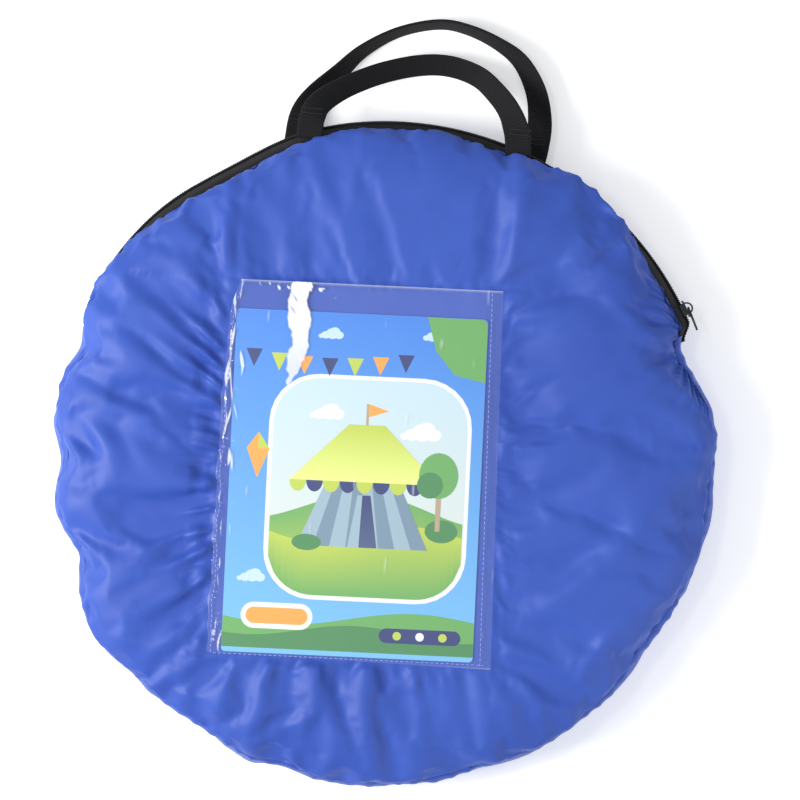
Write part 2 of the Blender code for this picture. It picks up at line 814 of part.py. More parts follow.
def make_pocket():
    """Clear film over the card, sewn down on three sides and open at the top."""
    frame = pocket_frame()
    cavity = CARD_THICKNESS + CLEARANCE
    total = cavity + POCKET_FILM
    film = flat_curve("card_pocket", [
        (-POCKET_BOTTOM_WIDTH / 2, -POCKET_HEIGHT / 2),
        (POCKET_BOTTOM_WIDTH / 2, -POCKET_HEIGHT / 2),
        (POCKET_TOP_WIDTH / 2, POCKET_HEIGHT / 2),
        (-POCKET_TOP_WIDTH / 2, POCKET_HEIGHT / 2),
    ], total)
    data = mesh_of_curve(film, frame @ Matrix.Translation((0.0, 0.0, total / 2)))
    pocket = add_object("card_pocket", data, clear_film())
    floor = -POCKET_HEIGHT / 2 + POCKET_BOTTOM_HEM
    height = POCKET_HEIGHT - POCKET_BOTTOM_HEM + OVERRUN
    room = box_mesh("card_room", (CARD_WIDTH + 2 * CARD_SIDE_PLAY, height, cavity + OVERRUN))
    cutter = bpy.data.objects.new("card_room", room)
    collection("cutters").objects.link(as_cutter(cutter))
    cutter.matrix_world = frame @ Matrix.Translation((
        CARD_OFFSET,
        floor + height / 2,
        cavity - (cavity + OVERRUN) / 2,
    ))
    cut(pocket, cutter)
    card = box_mesh("insert_card", (CARD_WIDTH, CARD_HEIGHT, CARD_THICKNESS))
    insert = add_object("insert_card", card, printed_card())
    insert.matrix_world = frame @ Matrix.Translation((
        CARD_OFFSET,
        card_bottom() + CARD_HEIGHT / 2,
        CARD_THICKNESS / 2,
    ))


def hoop_radius():
    return SEAM_RADIUS - HOOP_INSET


def hoop_heights():
    """Heights of the two hoops' middle lines, the lower one first."""
    low = lower_ledge_height() + CLEARANCE + HOOP_SPREAD + HOOP_WIRE_RADIUS
    pitch = math.sqrt(3) * HOOP_SPREAD + 2 * HOOP_WIRE_RADIUS + CLEARANCE
    return low, low + pitch


def hoop_points(height):
    """A closed wire that winds three times: loops lie on a small circle."""
    count = HOOP_LOOPS * HOOP_POINTS_PER_LOOP
    points = []
    for i in range(count):
        turn = FULL_TURN * i / HOOP_POINTS_PER_LOOP
        phase = turn / HOOP_LOOPS
        radius = hoop_radius() + HOOP_SPREAD * math.cos(phase)
        points.append(Vector((
            radius * math.cos(turn),
            radius * math.sin(turn),
            height + HOOP_SPREAD * math.sin(phase),
        )))
    return points


def least_gap(points):
    """The wire's least distance to its other loops, less its diameter."""
    step = HOOP_POINTS_PER_LOOP
    near = step // 2
    count = len(points)
    best = math.inf
    for i in range(count):
        for j in range(i + near, min(count, i + count - near)):
            best = min(best, (points[i] - points[j]).length)
    return best - 2 * HOOP_WIRE_RADIUS


def make_ferrule(name, start, end):
    """A crimp sleeve round the straight run between two points of a hoop."""
    outer = HOOP_WIRE_RADIUS + CLEARANCE + FERRULE_WALL
    inner = HOOP_WIRE_RADIUS + CLEARANCE
    half = FERRULE_LENGTH / 2
    outline = [(outer, half), (outer, -half), (inner, -half), (inner, half), (outer, half)]
    ferrule = turned_solid(name, outline, FERRULE_SIDES, spring_steel())
    along = (end - start).normalized()
    turn = along.to_track_quat("Z", "Y").to_matrix().to_4x4()
    ferrule.matrix_world = Matrix.Translation((start + end) / 2) @ turn


def make_hoops():
    """Two hoops, each one wire wound three times and closed by its ferrule."""
    print("rods %.1f mm long" % (rod_length() / MM))
    for name, height in zip(("base_hoop", "eaves_hoop"), hoop_heights()):
        points = hoop_points(height)
        data = poly_curve(name, [tuple(p) for p in points], cyclic=True)
        data.bevel_depth = HOOP_WIRE_RADIUS
        data.bevel_resolution = BAR_RESOLUTION
        add_object(name, data, spring_steel())
        make_ferrule(name + "_ferrule", points[0], points[1])
        wire = sum((a - b).length for a, b in zip(points, points[1:] + points[:1]))
        print("%s wire %.0f mm long" % (name, wire / MM))
        gap = least_gap(points)
        print("%s least gap to itself %.2f mm" % (name, gap / MM))
        assert gap > HOOP_MIN_GAP


def socket_radius():
    return ROD_RADIUS + CLEARANCE + SOCKET_WALL


def rod_layer_height():
    return 2 * socket_radius() + CLEARANCE


def rod_length():
    """A folded pole is as long as the coiled hoops leave room for."""
    return 2 * (inner_cloth_radius() - ROD_END_ROOM)


def rod_floor():
    """Underside of the lower layer of rods."""
    layers = POLE_COUNT / POLES_PER_LAYER
    middle = (BAG_HEIGHT + CLEARANCE) / 2
    return middle - layers * rod_layer_height() / 2


def lower_ledge_height():
    """Top of the cloth that the hoops rest on."""
    return rod_floor() - 2 * CLOTH_THICKNESS


def rod_outline(with_socket):
    """Half section of a rod, from its top to its foot."""
    half = rod_length() / 2
    if not with_socket:
        return [(0.0, half), (ROD_RADIUS, half), (ROD_RADIUS, -half), (0.0, -half)]
    outer = socket_radius()
    bore = ROD_RADIUS + CLEARANCE
    return [
        (0.0, half - SOCKET_DEPTH),
        (bore, half - SOCKET_DEPTH),
        (bore, half),
        (outer, half),
        (outer, half - SOCKET_LENGTH),
        (ROD_RADIUS, half - SOCKET_LENGTH - SOCKET_WALL),
        (ROD_RADIUS, -half),
        (0.0, -half),
    ]


def make_poles():
    """Each pole folded into five rods side by side, heads and tails in turn."""
    pitch = rod_layer_height()
    per_layer = POLES_PER_LAYER * RODS_PER_POLE
    for pole in range(POLE_COUNT):
        layer = pole // POLES_PER_LAYER
        height = rod_floor() + CLEARANCE + socket_radius() + layer * pitch
        for rod in range(RODS_PER_POLE):
            slot = (pole % POLES_PER_LAYER) * RODS_PER_POLE + rod
            across = (slot - (per_layer - 1) / 2) * pitch
            name = "pole_%d_rod_%d" % (pole + 1, rod + 1)
            outline = rod_outline(rod < RODS_PER_POLE - 1)
            part = turned_solid(name, outline, ROD_SIDES, fibreglass())
            flip = math.pi / 2 if rod % 2 else -math.pi / 2
            turn = Matrix.Rotation(MOUTH_TURN, 4, "Z")
            lay = Matrix.Rotation(flip, 4, "X")
            part.matrix_world = turn @ Matrix.Translation((across, 0.0, height)) @ lay


def inner_cloth_radius():
    """Edge of the cloth inside the hoops, clear of their flats."""
    flat = math.cos(math.pi / HOOP_POINTS_PER_LOOP)
    return (hoop_radius() - HOOP_SPREAD) * flat - HOOP_WIRE_RADIUS - 2 * CLEARANCE


def folds(radius, low, high):
    """Edge of a folded stack, from high to low: one bulge for each layer."""
    places = []
    count = 2 * FOLD_LAYERS
    for i in range(count + 1):
        height = high + (low - high) * i / count
        swell = FOLD_SWELL if i % 2 == 0 else 0.0
        places.append((radius - swell, height))
    return places


def make_cloth():
    """Wall cloth under the hoops and poles, roof cloth over them."""
    inner = inner_cloth_radius()
    ledge = inner + LEDGE_WIDTH
    floor = rod_floor()
    ledge_low = lower_ledge_height()
    ledge_high = hoop_heights()[1] + HOOP_SPREAD + HOOP_WIRE_RADIUS + CLEARANCE
    under = back_panel_height(ledge + CLOTH_THICKNESS) + CLOTH_THICKNESS + 3 * CLEARANCE
    seat = CLOTH_THICKNESS + CLEARANCE
    step = inner - FOLD_SWELL
    wall = [(0.0, floor), (step, floor), (step, ledge_low)]
    wall += folds(ledge, under, ledge_low)
    wall += [(back_flat_radius() - CLOTH_THICKNESS, seat), (0.0, seat)]
    turned_solid("folded_wall", wall, FOLD_STEPS, wall_cloth())
    over = front_panel_height(ledge + CLOTH_THICKNESS) - CLOTH_THICKNESS - 3 * CLEARANCE
    lid = BAG_HEIGHT - CLOTH_THICKNESS - CLEARANCE
    roof = [(0.0, lid), (front_flat_radius() - CLOTH_THICKNESS, lid)]
    roof += folds(ledge, ledge_high, over)
    roof += folds(inner, floor + CLEARANCE, ledge_high)
    roof += [(0.0, floor + CLEARANCE)]
    stack = turned_solid("folded_roof", roof, FOLD_STEPS, roof_cloth())
    pitch = rod_layer_height()
    layers = POLE_COUNT // POLES_PER_LAYER
    channel = add_cutter(
        "pole_channel",
        (
            POLES_PER_LAYER * RODS_PER_POLE * pitch + 2 * CLEARANCE,
            rod_length() + 2 * CLEARANCE,
            2 * (layers * pitch + CLEARANCE),
        ),
        (0.0, 0.0, floor),
        MOUTH_TURN,
    )
    cut(stack, channel)


def main():
    for old in list(bpy.data.objects):
        bpy.data.objects.remove(old)
    make_panels()
    make_gusset()
    make_zip()
    make_slider()
    make_tab()
    make_handles()
    make_pocket()
    make_hoops()
    make_poles()
    make_cloth()


main()
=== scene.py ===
# %% [markdown]
# # A play tent, packed in its round carry bag
# The bag lies on its back. Inside are two coiled spring steel hoops, the folded
# cloth and the poles. Outside are two nylon panels, a side with a coil zip, two
# webbing handles and a clear pocket with a printed card. The solid model gives
# every real size. This lesson puts cloth, thread, film and light on it.

# %% Load the solid model
import json
import math

import bmesh
import bpy
import numpy as np
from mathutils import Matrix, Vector

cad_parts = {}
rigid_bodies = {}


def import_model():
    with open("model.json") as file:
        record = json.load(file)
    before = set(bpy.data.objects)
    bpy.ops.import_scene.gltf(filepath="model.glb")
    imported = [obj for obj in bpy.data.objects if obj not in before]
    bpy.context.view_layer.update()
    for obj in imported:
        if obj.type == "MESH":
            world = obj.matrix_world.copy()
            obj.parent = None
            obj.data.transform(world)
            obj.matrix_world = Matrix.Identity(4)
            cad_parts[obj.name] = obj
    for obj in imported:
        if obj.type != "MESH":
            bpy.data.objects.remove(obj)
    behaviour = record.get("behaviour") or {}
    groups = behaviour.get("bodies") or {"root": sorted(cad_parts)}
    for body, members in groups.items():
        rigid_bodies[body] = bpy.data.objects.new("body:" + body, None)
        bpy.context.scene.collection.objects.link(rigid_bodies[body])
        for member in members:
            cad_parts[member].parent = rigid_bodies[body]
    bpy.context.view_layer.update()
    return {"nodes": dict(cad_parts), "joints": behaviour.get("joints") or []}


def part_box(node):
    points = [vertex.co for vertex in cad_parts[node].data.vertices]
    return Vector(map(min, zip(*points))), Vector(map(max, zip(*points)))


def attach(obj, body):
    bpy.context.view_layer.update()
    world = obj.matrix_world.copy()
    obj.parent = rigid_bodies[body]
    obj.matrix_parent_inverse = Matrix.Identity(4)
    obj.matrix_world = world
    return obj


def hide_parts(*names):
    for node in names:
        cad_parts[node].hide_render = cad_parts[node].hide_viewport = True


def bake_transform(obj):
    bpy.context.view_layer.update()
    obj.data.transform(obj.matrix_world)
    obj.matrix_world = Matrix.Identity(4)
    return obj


for old in list(bpy.data.objects):
    bpy.data.objects.remove(old)
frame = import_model()
nodes = frame["nodes"]
joints = {joint["name"]: joint for joint in frame["joints"]}
MM = 0.001
FULL_TURN = 2 * math.pi
NOISE_WAVES = 12

# %% [markdown]
# The photograph is taken from straight above, so the camera looks down and the
# handles point to the top of the picture. A long lens from 2.4 m away keeps the
# rim from hiding the zip. The floor is plain and pale. The key light is a low
# soft box at the left, with a large weak one at the lower right and a small one
# high up for glints, because thin nylon shows its wrinkles only under light that
# comes from one side.

# %% Camera, floor and lights
VIEW_WIDTH = 493.5 * MM
VIEW_CENTRE = (10.2 * MM, 33.6 * MM)
CAMERA_DISTANCE = 2400 * MM
VIEW_LEVEL = 30 * MM          # the rim, where the view is as wide as stated
SENSOR = 36.0
FLOOR_SIZE = 12.0
FLOOR_GLOW = 0.26
WORLD_COLOUR = (0.95, 0.97, 1.0, 1.0)
WORLD_STRENGTH = 0.55
# Each light: place and size in metres, power in watts, colour
LIGHTS = {
    "key_light": ((-1.1, -0.05, 0.9), 0.7, 22.5, (1.0, 0.99, 0.97)),
    "fill_light": ((1.7, -1.0, 1.4), 1.8, 15.5, (0.96, 0.98, 1.0)),
    "glint_light": ((-0.42, 0.28, 1.7), 0.16, 2.2, (1.0, 1.0, 1.0)),
}

scene = bpy.context.scene


def add_object(name, data):
    """A new object in the scene."""
    new = bpy.data.objects.new(name, data)
    scene.collection.objects.link(new)
    return new


camera_data = bpy.data.cameras.new("camera")
camera_data.sensor_width = SENSOR
camera_data.lens = SENSOR * CAMERA_DISTANCE / VIEW_WIDTH
camera = add_object("camera", camera_data)
camera.location = (*VIEW_CENTRE, VIEW_LEVEL + CAMERA_DISTANCE)
scene.camera = camera
scene.view_settings.view_transform = "Standard"


def add_light(name, place, size, power, colour):
    """A square soft box that faces the bag."""
    data = bpy.data.lights.new(name, "AREA")
    data.shape = "SQUARE"
    data.size = size
    data.energy = power
    data.color = colour
    light = add_object(name, data)
    light.location = place
    light.rotation_mode = "QUATERNION"
    light.rotation_quaternion = (-Vector(place)).to_track_quat("-Z", "Y")


for name, values in LIGHTS.items():
    add_light(name, *values)
world = bpy.data.worlds.new("studio")
world.use_nodes = True
sky = world.node_tree.nodes["Background"].inputs
sky["Color"].default_value = WORLD_COLOUR
sky["Strength"].default_value = WORLD_STRENGTH
scene.world = world
print("lights:", ", ".join(LIGHTS))

# %% [markdown]
# Every form below is a formula on arrays of points, and a few shapes of curve
# turn up again and again: a value kept between 0 and 1, a smooth S, a bell, a
# turn in the plane, and points given by radius and angle.

# %% Curves and turns
def kept(value):
    """A value kept between 0 and 1."""
    return np.clip(value, 0, 1)


def smooth_step(value, low=0.0, high=1.0):
    """0 below low, 1 above high, and between them the S curve t t (3 - 2 t)."""
    t = kept((value - low) / (high - low))
    return t * t * (3 - 2 * t)


def fade(distance, reach):
    """1 at zero distance, and falling to 0 at reach along a smooth step. Below zero it is 0."""
    return np.where(distance < 0, 0.0, smooth_step(1 - distance / reach))


def bell(value):
    """The bell curve exp(-value squared)."""
    return np.exp(-(value ** 2))


def bells(angle, table):
    """Sum of bells round the rim. A table's row: degrees, height in mm, half width in degrees."""
    degrees = np.degrees(angle) % 360
    total = np.zeros_like(degrees)
    for place, height, half in table:
        away = (degrees - place + 180) % 360 - 180
        total += height * MM * bell(away / half)
    return total


def turned(x, y, angle):
    """Places turned by an angle: x cos - y sin and x sin + y cos."""
    c, s = math.cos(angle), math.sin(angle)
    return x * c - y * s, x * s + y * c


def polar(radius, angle, height):
    """Points from radius, angle and height: x = radius cos, y = radius sin."""
    x, y = radius * np.cos(angle), radius * np.sin(angle)
    return np.stack([x, y, np.broadcast_to(height, x.shape)], -1)


def unit(vectors):
    """Each vector divided by its length."""
    return vectors / np.maximum(np.linalg.norm(vectors, axis=-1, keepdims=True), 1e-12)


def path_lengths(path):
    """Distance along a path at each of its points: the running sum of its steps."""
    return np.concatenate([[0], np.cumsum(np.linalg.norm(np.diff(path, axis=0), axis=1))])


def along_path(places, lengths, values):
    """Values at places along a path, read in straight lines between its points."""
    return np.stack([np.interp(places, lengths, values[:, k]) for k in range(values.shape[1])], -1)


def soft_noise(x, y, length, seed, octaves=2):
    """Smooth noise from a few dozen plane waves with seeded directions and phases, about -1 to 1."""
    source = np.random.default_rng(seed)
    total = np.zeros(np.broadcast(x, y).shape)
    power = 0.0
    for octave in range(octaves):
        size = length / 2 ** octave
        weight = 0.5 ** octave
        part = np.zeros_like(total)
        for _ in range(NOISE_WAVES):
            heading, phase = source.uniform(0, FULL_TURN, 2)
            reach = FULL_TURN / size * source.uniform(0.7, 1.3)
            part += np.sin(reach * (x * math.cos(heading) + y * math.sin(heading)) + phase)
        total += part / NOISE_WAVES ** 0.5 * weight
        power += weight
    return total / power


def ridges(across, width, seed):
    """Uneven folds: a sine whose phase drifts, with its crests made sharper than its valleys."""
    drift = soft_noise(across, across * 0, width * 5, seed, 1) * 1.6
    wave = np.sin(FULL_TURN * across / width + drift)
    return 0.5 * (wave + 1) ** 1.6 - 0.55


def soft_limit(value, low, high):
    """Values that bend towards two limits and never pass them: a scaled tanh on each side of zero."""
    return np.where(value > 0, high * np.tanh(value / high), low * np.tanh(value / low))


print("a smooth step at 0.25:", smooth_step(0.25))

# %% [markdown]
# Every new piece is a grid of points worked out with numpy. A few helpers turn a
# grid into a mesh: one for the mesh itself, one that caps a closed section swept
# along a path, and one that carries a round section, for thread and wire.

# %% From a grid of points to a mesh
def grid_faces(rows, columns, close_rows=False, close_columns=False):
    """Corner numbers of the quads between neighbouring rows and columns."""
    i = np.arange(rows if close_rows else rows - 1)
    j = np.arange(columns if close_columns else columns - 1)
    i, j = np.meshgrid(i, j, indexing="ij")
    i2, j2 = (i + 1) % rows, (j + 1) % columns
    corners = [i * columns + j, i * columns + j2, i2 * columns + j2, i2 * columns + j]
    return np.stack(corners, -1).reshape(-1, 4)


def mesh_object(name, points, faces, uv=None, smooth=True):
    """An object from points and faces: one array of faces, or a list of arrays of unlike width."""
    points = np.asarray(points, float).reshape(-1, 3)
    groups = [np.asarray(group, int) for group in (faces if isinstance(faces, list) else [faces])]
    corners = np.concatenate([group.ravel() for group in groups])
    sides = np.concatenate([np.full(len(group), group.shape[1]) for group in groups])
    mesh = bpy.data.meshes.new(name)
    mesh.vertices.add(len(points))
    mesh.vertices.foreach_set("co", points.ravel())
    mesh.loops.add(len(corners))
    mesh.loops.foreach_set("vertex_index", corners)
    mesh.polygons.add(len(sides))
    mesh.polygons.foreach_set("loop_start", np.cumsum(sides) - sides)
    mesh.polygons.foreach_set("loop_total", sides)
    mesh.update(calc_edges=True)
    if uv is not None:
        layer = mesh.uv_layers.new(name="cloth")
        layer.data.foreach_set("uv", np.asarray(uv, float).reshape(-1, 2)[corners].ravel())
    mesh.validate()
    mesh.polygons.foreach_set("use_smooth", np.full(len(mesh.polygons), smooth))
    return add_object(name, mesh)


def swept(name, points, uv=None, flip=False, smooth=True):
    """A closed section swept along a path, with a cap at each end. flip turns its faces round."""
    rows, columns = points.shape[:2]
    ring = np.arange(columns)[None]
    faces = [grid_faces(rows, columns, close_columns=True), ring[:, ::-1], (rows - 1) * columns + ring]
    if flip:
        faces = [part[:, ::-1] for part in faces]
    return mesh_object(name, points, faces, uv, smooth)


def tube_points(path, radius, sides, up):
    """Circles round the points of a path. Across is the path's direction crossed with up."""
    along = unit(np.gradient(path, axis=0))
    across = unit(np.cross(along, up))
    over = np.cross(across, along)
    turn = FULL_TURN * np.arange(sides) / sides
    ring = across[:, None] * np.cos(turn)[:, None] + over[:, None] * np.sin(turn)[:, None]
    return path[:, None] + ring * np.reshape(radius, (-1, 1, 1))


def tube(name, path, radius, sides=8, up=(0, 0, 1), closed=False):
    """A round bar along a path. An open one is closed at its ends by rings that shrink to a point."""
    radius = np.broadcast_to(np.asarray(radius, float), len(path)).copy()
    if not closed:
        path = np.concatenate([path[:1], path, path[-1:]])
        radius = np.concatenate([[radius[0] * 0.02], radius, [radius[-1] * 0.02]])
        path[0] -= unit(path[2] - path[1]) * radius[1] * 0.2
        path[-1] += unit(path[-2] - path[-3]) * radius[-2] * 0.2
    points = tube_points(path, radius, sides, np.asarray(up, float))
    faces = grid_faces(len(path), sides, close_rows=closed, close_columns=True)[:, ::-1]
    return mesh_object(name, points, faces)


def finish_piece(piece, body, material, replaced=()):
    """Give a piece its material and the body that it rides on."""
    piece.data.materials.clear()
    piece.data.materials.append(material)
    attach(piece, body)
    if replaced:
        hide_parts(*replaced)
    return piece


def object_from(shape, name):
    """An object from a bmesh, which is freed."""
    mesh = bpy.data.meshes.new(name)
    shape.to_mesh(mesh)
    shape.free()
    return add_object(name, mesh)


def merge_pieces(name, pieces, body, material):
    """Several meshes made one, with one finish."""
    shape = bmesh.new()
    for piece in pieces:
        shape.from_mesh(piece.data)
        bpy.data.objects.remove(piece)
    return finish_piece(object_from(shape, name), body, material)


def triangles(piece):
    """How many triangles a piece's mesh has before its modifiers."""
    return sum(len(face.vertices) - 2 for face in piece.data.polygons)


# %% [markdown]
# Two effects turn up in more than one finish, so each is a node group that is
# built once. The weave group draws over-and-under threads and puts out a height
# for bump and a shade for colour. The tone group is a soft cloudy mask that
# keeps a large plain surface from looking printed in one flat colour.

# %% Shared shader groups
def new_group(name, inputs, outputs):
    """An empty node group with named inputs and outputs."""
    group = bpy.data.node_groups.new(name, "ShaderNodeTree")
    for label, kind, value in inputs:
        socket = group.interface.new_socket(label, in_out="INPUT", socket_type=kind)
        if value is not None:
            socket.default_value = value
    for label, kind in outputs:
        group.interface.new_socket(label, in_out="OUTPUT", socket_type=kind)
    return group


def math_node(tree, operation, a, b=None, c=None):
    """A Math node whose inputs are sockets or numbers. Puts out its value."""
    node = tree.nodes.new("ShaderNodeMath")
    node.operation = operation
    for socket, value in zip(node.inputs, (a, b, c)):
        if value is None:
            continue
        if isinstance(value, (int, float)):
            socket.default_value = value
        else:
            tree.links.new(value, socket)
    return node.outputs[0]


def weave_group():
    """Plain weave: two waves at right angles, each raised where a checker of threads says it is on top."""
    group = new_group(
        "plain_weave",
        (("Vector", "NodeSocketVector", None), ("Pitch", "NodeSocketFloat", 0.0004)),
        (("Height", "NodeSocketFloat"), ("Shade", "NodeSocketFloat")),
    )
    start = group.nodes.new("NodeGroupInput")
    end = group.nodes.new("NodeGroupOutput")
    split = group.nodes.new("ShaderNodeSeparateXYZ")
    group.links.new(start.outputs["Vector"], split.inputs[0])
    step = math_node(group, "DIVIDE", math.pi, start.outputs["Pitch"])
    waves = []
    for axis in ("X", "Y"):
        phase = math_node(group, "MULTIPLY", split.outputs[axis], step)
        waves.append((math_node(group, "SINE", phase), math_node(group, "COSINE", phase)))
    over = math_node(group, "MULTIPLY", waves[0][0], waves[1][0])
    side = math_node(group, "MULTIPLY", waves[0][1], waves[1][1])
    height = math_node(group, "MULTIPLY_ADD", over, 0.35, 0.5)
    height = math_node(group, "MULTIPLY_ADD", side, 0.15, height)
    group.links.new(height, end.inputs["Height"])
    group.links.new(math_node(group, "MULTIPLY_ADD", over, 0.5, 0.5), end.inputs["Shade"])
    return group


def tone_group():
    """Soft clouds between 0 and 1, from two sizes of noise."""
    group = new_group(
        "soft_tone",
        (("Vector", "NodeSocketVector", None), ("Scale", "NodeSocketFloat", 12.0)),
        (("Mask", "NodeSocketFloat"),),
    )
    start = group.nodes.new("NodeGroupInput")
    end = group.nodes.new("NodeGroupOutput")
    mixed = 0.0
    for detail, finer, share in ((2.0, 7.0, 0.25), (3.0, 1.0, 0.75)):
        noise = group.nodes.new("ShaderNodeTexNoise")
        noise.inputs["Detail"].default_value = detail
        group.links.new(start.outputs["Vector"], noise.inputs["Vector"])
        group.links.new(math_node(group, "MULTIPLY", start.outputs["Scale"], finer), noise.inputs["Scale"])
        mixed = math_node(group, "MULTIPLY_ADD", noise.outputs[0], share, mixed)
    group.links.new(mixed, end.inputs["Mask"])
    return group


WEAVE = weave_group()
TONE = tone_group()
print("shader groups:", WEAVE.name, "and", TONE.name)

# %% [markdown]
# A finish is a material under construction. Plain values go straight into the
# shader, and the methods below add the few nodes that the richer ones need.

# %% Finishes
class Finish:
    """A material under construction: its node tree, its shader and a few shorthands."""

    def __init__(self, name, colour=None, **sockets):
        self.material = bpy.data.materials.new(name)
        self.material.use_nodes = True
        self.tree = self.material.node_tree
        self.shader = self.tree.nodes["Principled BSDF"]
        if colour:
            sockets["Base_Color"] = (*colour, 1.0)
        for label, value in sockets.items():
            self.shader.inputs[label.replace("_", " ")].default_value = value

    def node(self, kind, **values):
        """A new node with its settings."""
        new = self.tree.nodes.new(kind)
        for label, value in values.items():
            setattr(new, label, value)
        return new

    def link(self, out, into):
        """Joins an output to an input, which is a socket or the name of one of the shader's."""
        self.tree.links.new(out, self.shader.inputs[into] if isinstance(into, str) else into)

    def wave(self, value, length):
        """A sine of a value, once for each length."""
        return math_node(self.tree, "SINE", math_node(self.tree, "MULTIPLY", value, FULL_TURN / length))

    def place(self, uv=False):
        """Object coordinates, or the piece's own cloth map."""
        source = self.node("ShaderNodeTexCoord")
        return source.outputs["UV" if uv else "Object"]

    def group(self, tree, vector, **values):
        """One of the shared groups, at the given places."""
        new = self.node("ShaderNodeGroup", node_tree=tree)
        self.link(vector, new.inputs["Vector"])
        for label, value in values.items():
            new.inputs[label].default_value = value
        return new

    def ramp(self, mask, stops):
        """Colours along a mask, as (place, colour) stops."""
        new = self.node("ShaderNodeValToRGB")
        ramp = new.color_ramp
        while len(ramp.elements) < len(stops):
            ramp.elements.new(0.5)
        for element, (place, colour) in zip(ramp.elements, stops):
            element.position = place
            element.color = (*colour, 1.0)
        self.link(mask, new.inputs[0])
        return new.outputs["Color"]

    def level(self, mask, low, high):
        """A mask stretched to run from low to high."""
        new = self.node("ShaderNodeMapRange")
        new.inputs["To Min"].default_value = low
        new.inputs["To Max"].default_value = high
        self.link(mask, new.inputs["Value"])
        return new.outputs[0]

    def bump(self, height, distance, strength):
        """Tilts the shader's normal after a height, as if it rose by distance."""
        new = self.node("ShaderNodeBump")
        new.inputs["Distance"].default_value = distance
        new.inputs["Strength"].default_value = strength
        self.link(height, new.inputs["Height"])
        self.link(new.outputs["Normal"], "Normal")


print("a finish has", len([name for name in vars(Finish) if name[0] != "_"]), "shorthands")

# %% [markdown]
# The bag is thin royal blue nylon: a tight plain weave, far too fine to see from
# a step away, with a silky gloss that comes from the round threads. The weave
# is a small bump, the gloss is sheen over a medium rough base, and the tone
# group shifts the blue a little, as worn and stretched cloth does. Thread, coil,
# paint, card, steel and fibreglass are plain.

# %% Nylon, floor and the other plain finishes
NYLON_PITCH, NYLON_RISE = 0.45 * MM, 0.04 * MM
TAFFETA_PITCH, TAFFETA_RISE = 0.5 * MM, 0.05 * MM
BLUE_DEEP, BLUE_LIGHT = (0.026, 0.067, 0.355), (0.038, 0.094, 0.44)


def cloth_finish(look, deep, light, clouds, pitch, rise):
    """Woven cloth on a started finish: two near tones in soft clouds, and the shared weave as a bump."""
    tone = look.group(TONE, look.place(), Scale=clouds)
    look.link(look.ramp(tone.outputs["Mask"], ((0.3, deep), (0.7, light))), "Base Color")
    weave = look.group(WEAVE, look.place(), Pitch=pitch)
    look.bump(weave.outputs["Height"], rise, 0.5)
    return tone.outputs["Mask"]


nylon = Finish(
    "blue_nylon_cloth", Roughness=0.42, Specular_IOR_Level=0.32,
    Sheen_Weight=0.08, Sheen_Roughness=0.35, Sheen_Tint=(0.55, 0.66, 1.0, 1.0),
)
nylon_mask = cloth_finish(nylon, BLUE_DEEP, BLUE_LIGHT, 9.0, NYLON_PITCH, NYLON_RISE)
nylon.link(nylon.level(nylon_mask, 0.44, 0.56), "Roughness")
NYLON = nylon.material
THREAD = Finish("blue_thread", (0.035, 0.085, 0.42), Roughness=0.55).material
BLACK_THREAD = Finish("black_thread", (0.012, 0.012, 0.014), Roughness=0.6).material
PALE_THREAD = Finish("pale_thread", (0.26, 0.33, 0.70), Roughness=0.5).material
COIL = Finish("nylon_coil", (0.009, 0.009, 0.010), Roughness=0.5, Specular_IOR_Level=0.3).material
PAINT = Finish(
    "black_painted_metal", (0.018, 0.018, 0.02), Roughness=0.3, Metallic=0.3, Coat_Weight=0.3
).material
CARD_STOCK = Finish("card_stock", (0.85, 0.86, 0.87), Roughness=0.6).material
STEEL = Finish("spring_steel_wire", (0.50, 0.51, 0.53), Metallic=1.0, Roughness=0.28).material
FIBRE = Finish("fibreglass_rod", (0.70, 0.70, 0.62), Roughness=0.35, Coat_Weight=0.2).material


def add_floor():
    """A large plain square under the bag, for the picture alone."""
    points = np.array([(-1, -1, 0), (1, -1, 0), (1, 1, 0), (-1, 1, 0)]) * FLOOR_SIZE / 2
    floor = mesh_object("floor", points, np.array([[0, 1, 2, 3]]), smooth=False)
    look = Finish(
        "pale_floor", (0.98, 0.98, 0.98), Roughness=0.9,
        Emission_Color=(1.0, 1.0, 1.0, 1.0), Emission_Strength=FLOOR_GLOW,
    )
    floor.data.materials.append(look.material)


print("finishes:", len(bpy.data.materials))
add_floor()

# %% [markdown]
# The front panel is a disc of nylon, sewn to the side all round and to the
# pocket on three sides. It was cut a little larger than the room it has, so it
# wrinkles. The way to get such wrinkles is to let cloth find them: a disc of
# points is pinned where it is sewn, the cloth is told that it is a few parts in
# a hundred larger than its shape, and a weak pressure lifts it off the pack.
# The rim isn't a clean circle in the photograph either. It is drawn in at a few
# places where the seam is caught, so the rim is a circle with soft dents.

# %% Sizes read from the solid model
SEAM_RADIUS = (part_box("back_panel")[1].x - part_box("back_panel")[0].x) / 2
BAG_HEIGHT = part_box("front_panel")[1].z
FRONT_SEAM_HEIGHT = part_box("front_flap")[0].z
BACK_SEAM_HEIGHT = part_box("back_panel")[1].z
RIM_HEIGHT = (FRONT_SEAM_HEIGHT + BACK_SEAM_HEIGHT) / 2
RIM_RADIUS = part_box("side_gusset")[1].x
FRONT_SHOULDER = 41.2 * MM
BACK_SHOULDER = 49.2 * MM
MOUTH_TURN = math.radians(-6)
ZIP_RIGHT_END = math.radians(20.5)
ZIP_LEFT_END = math.radians(152)
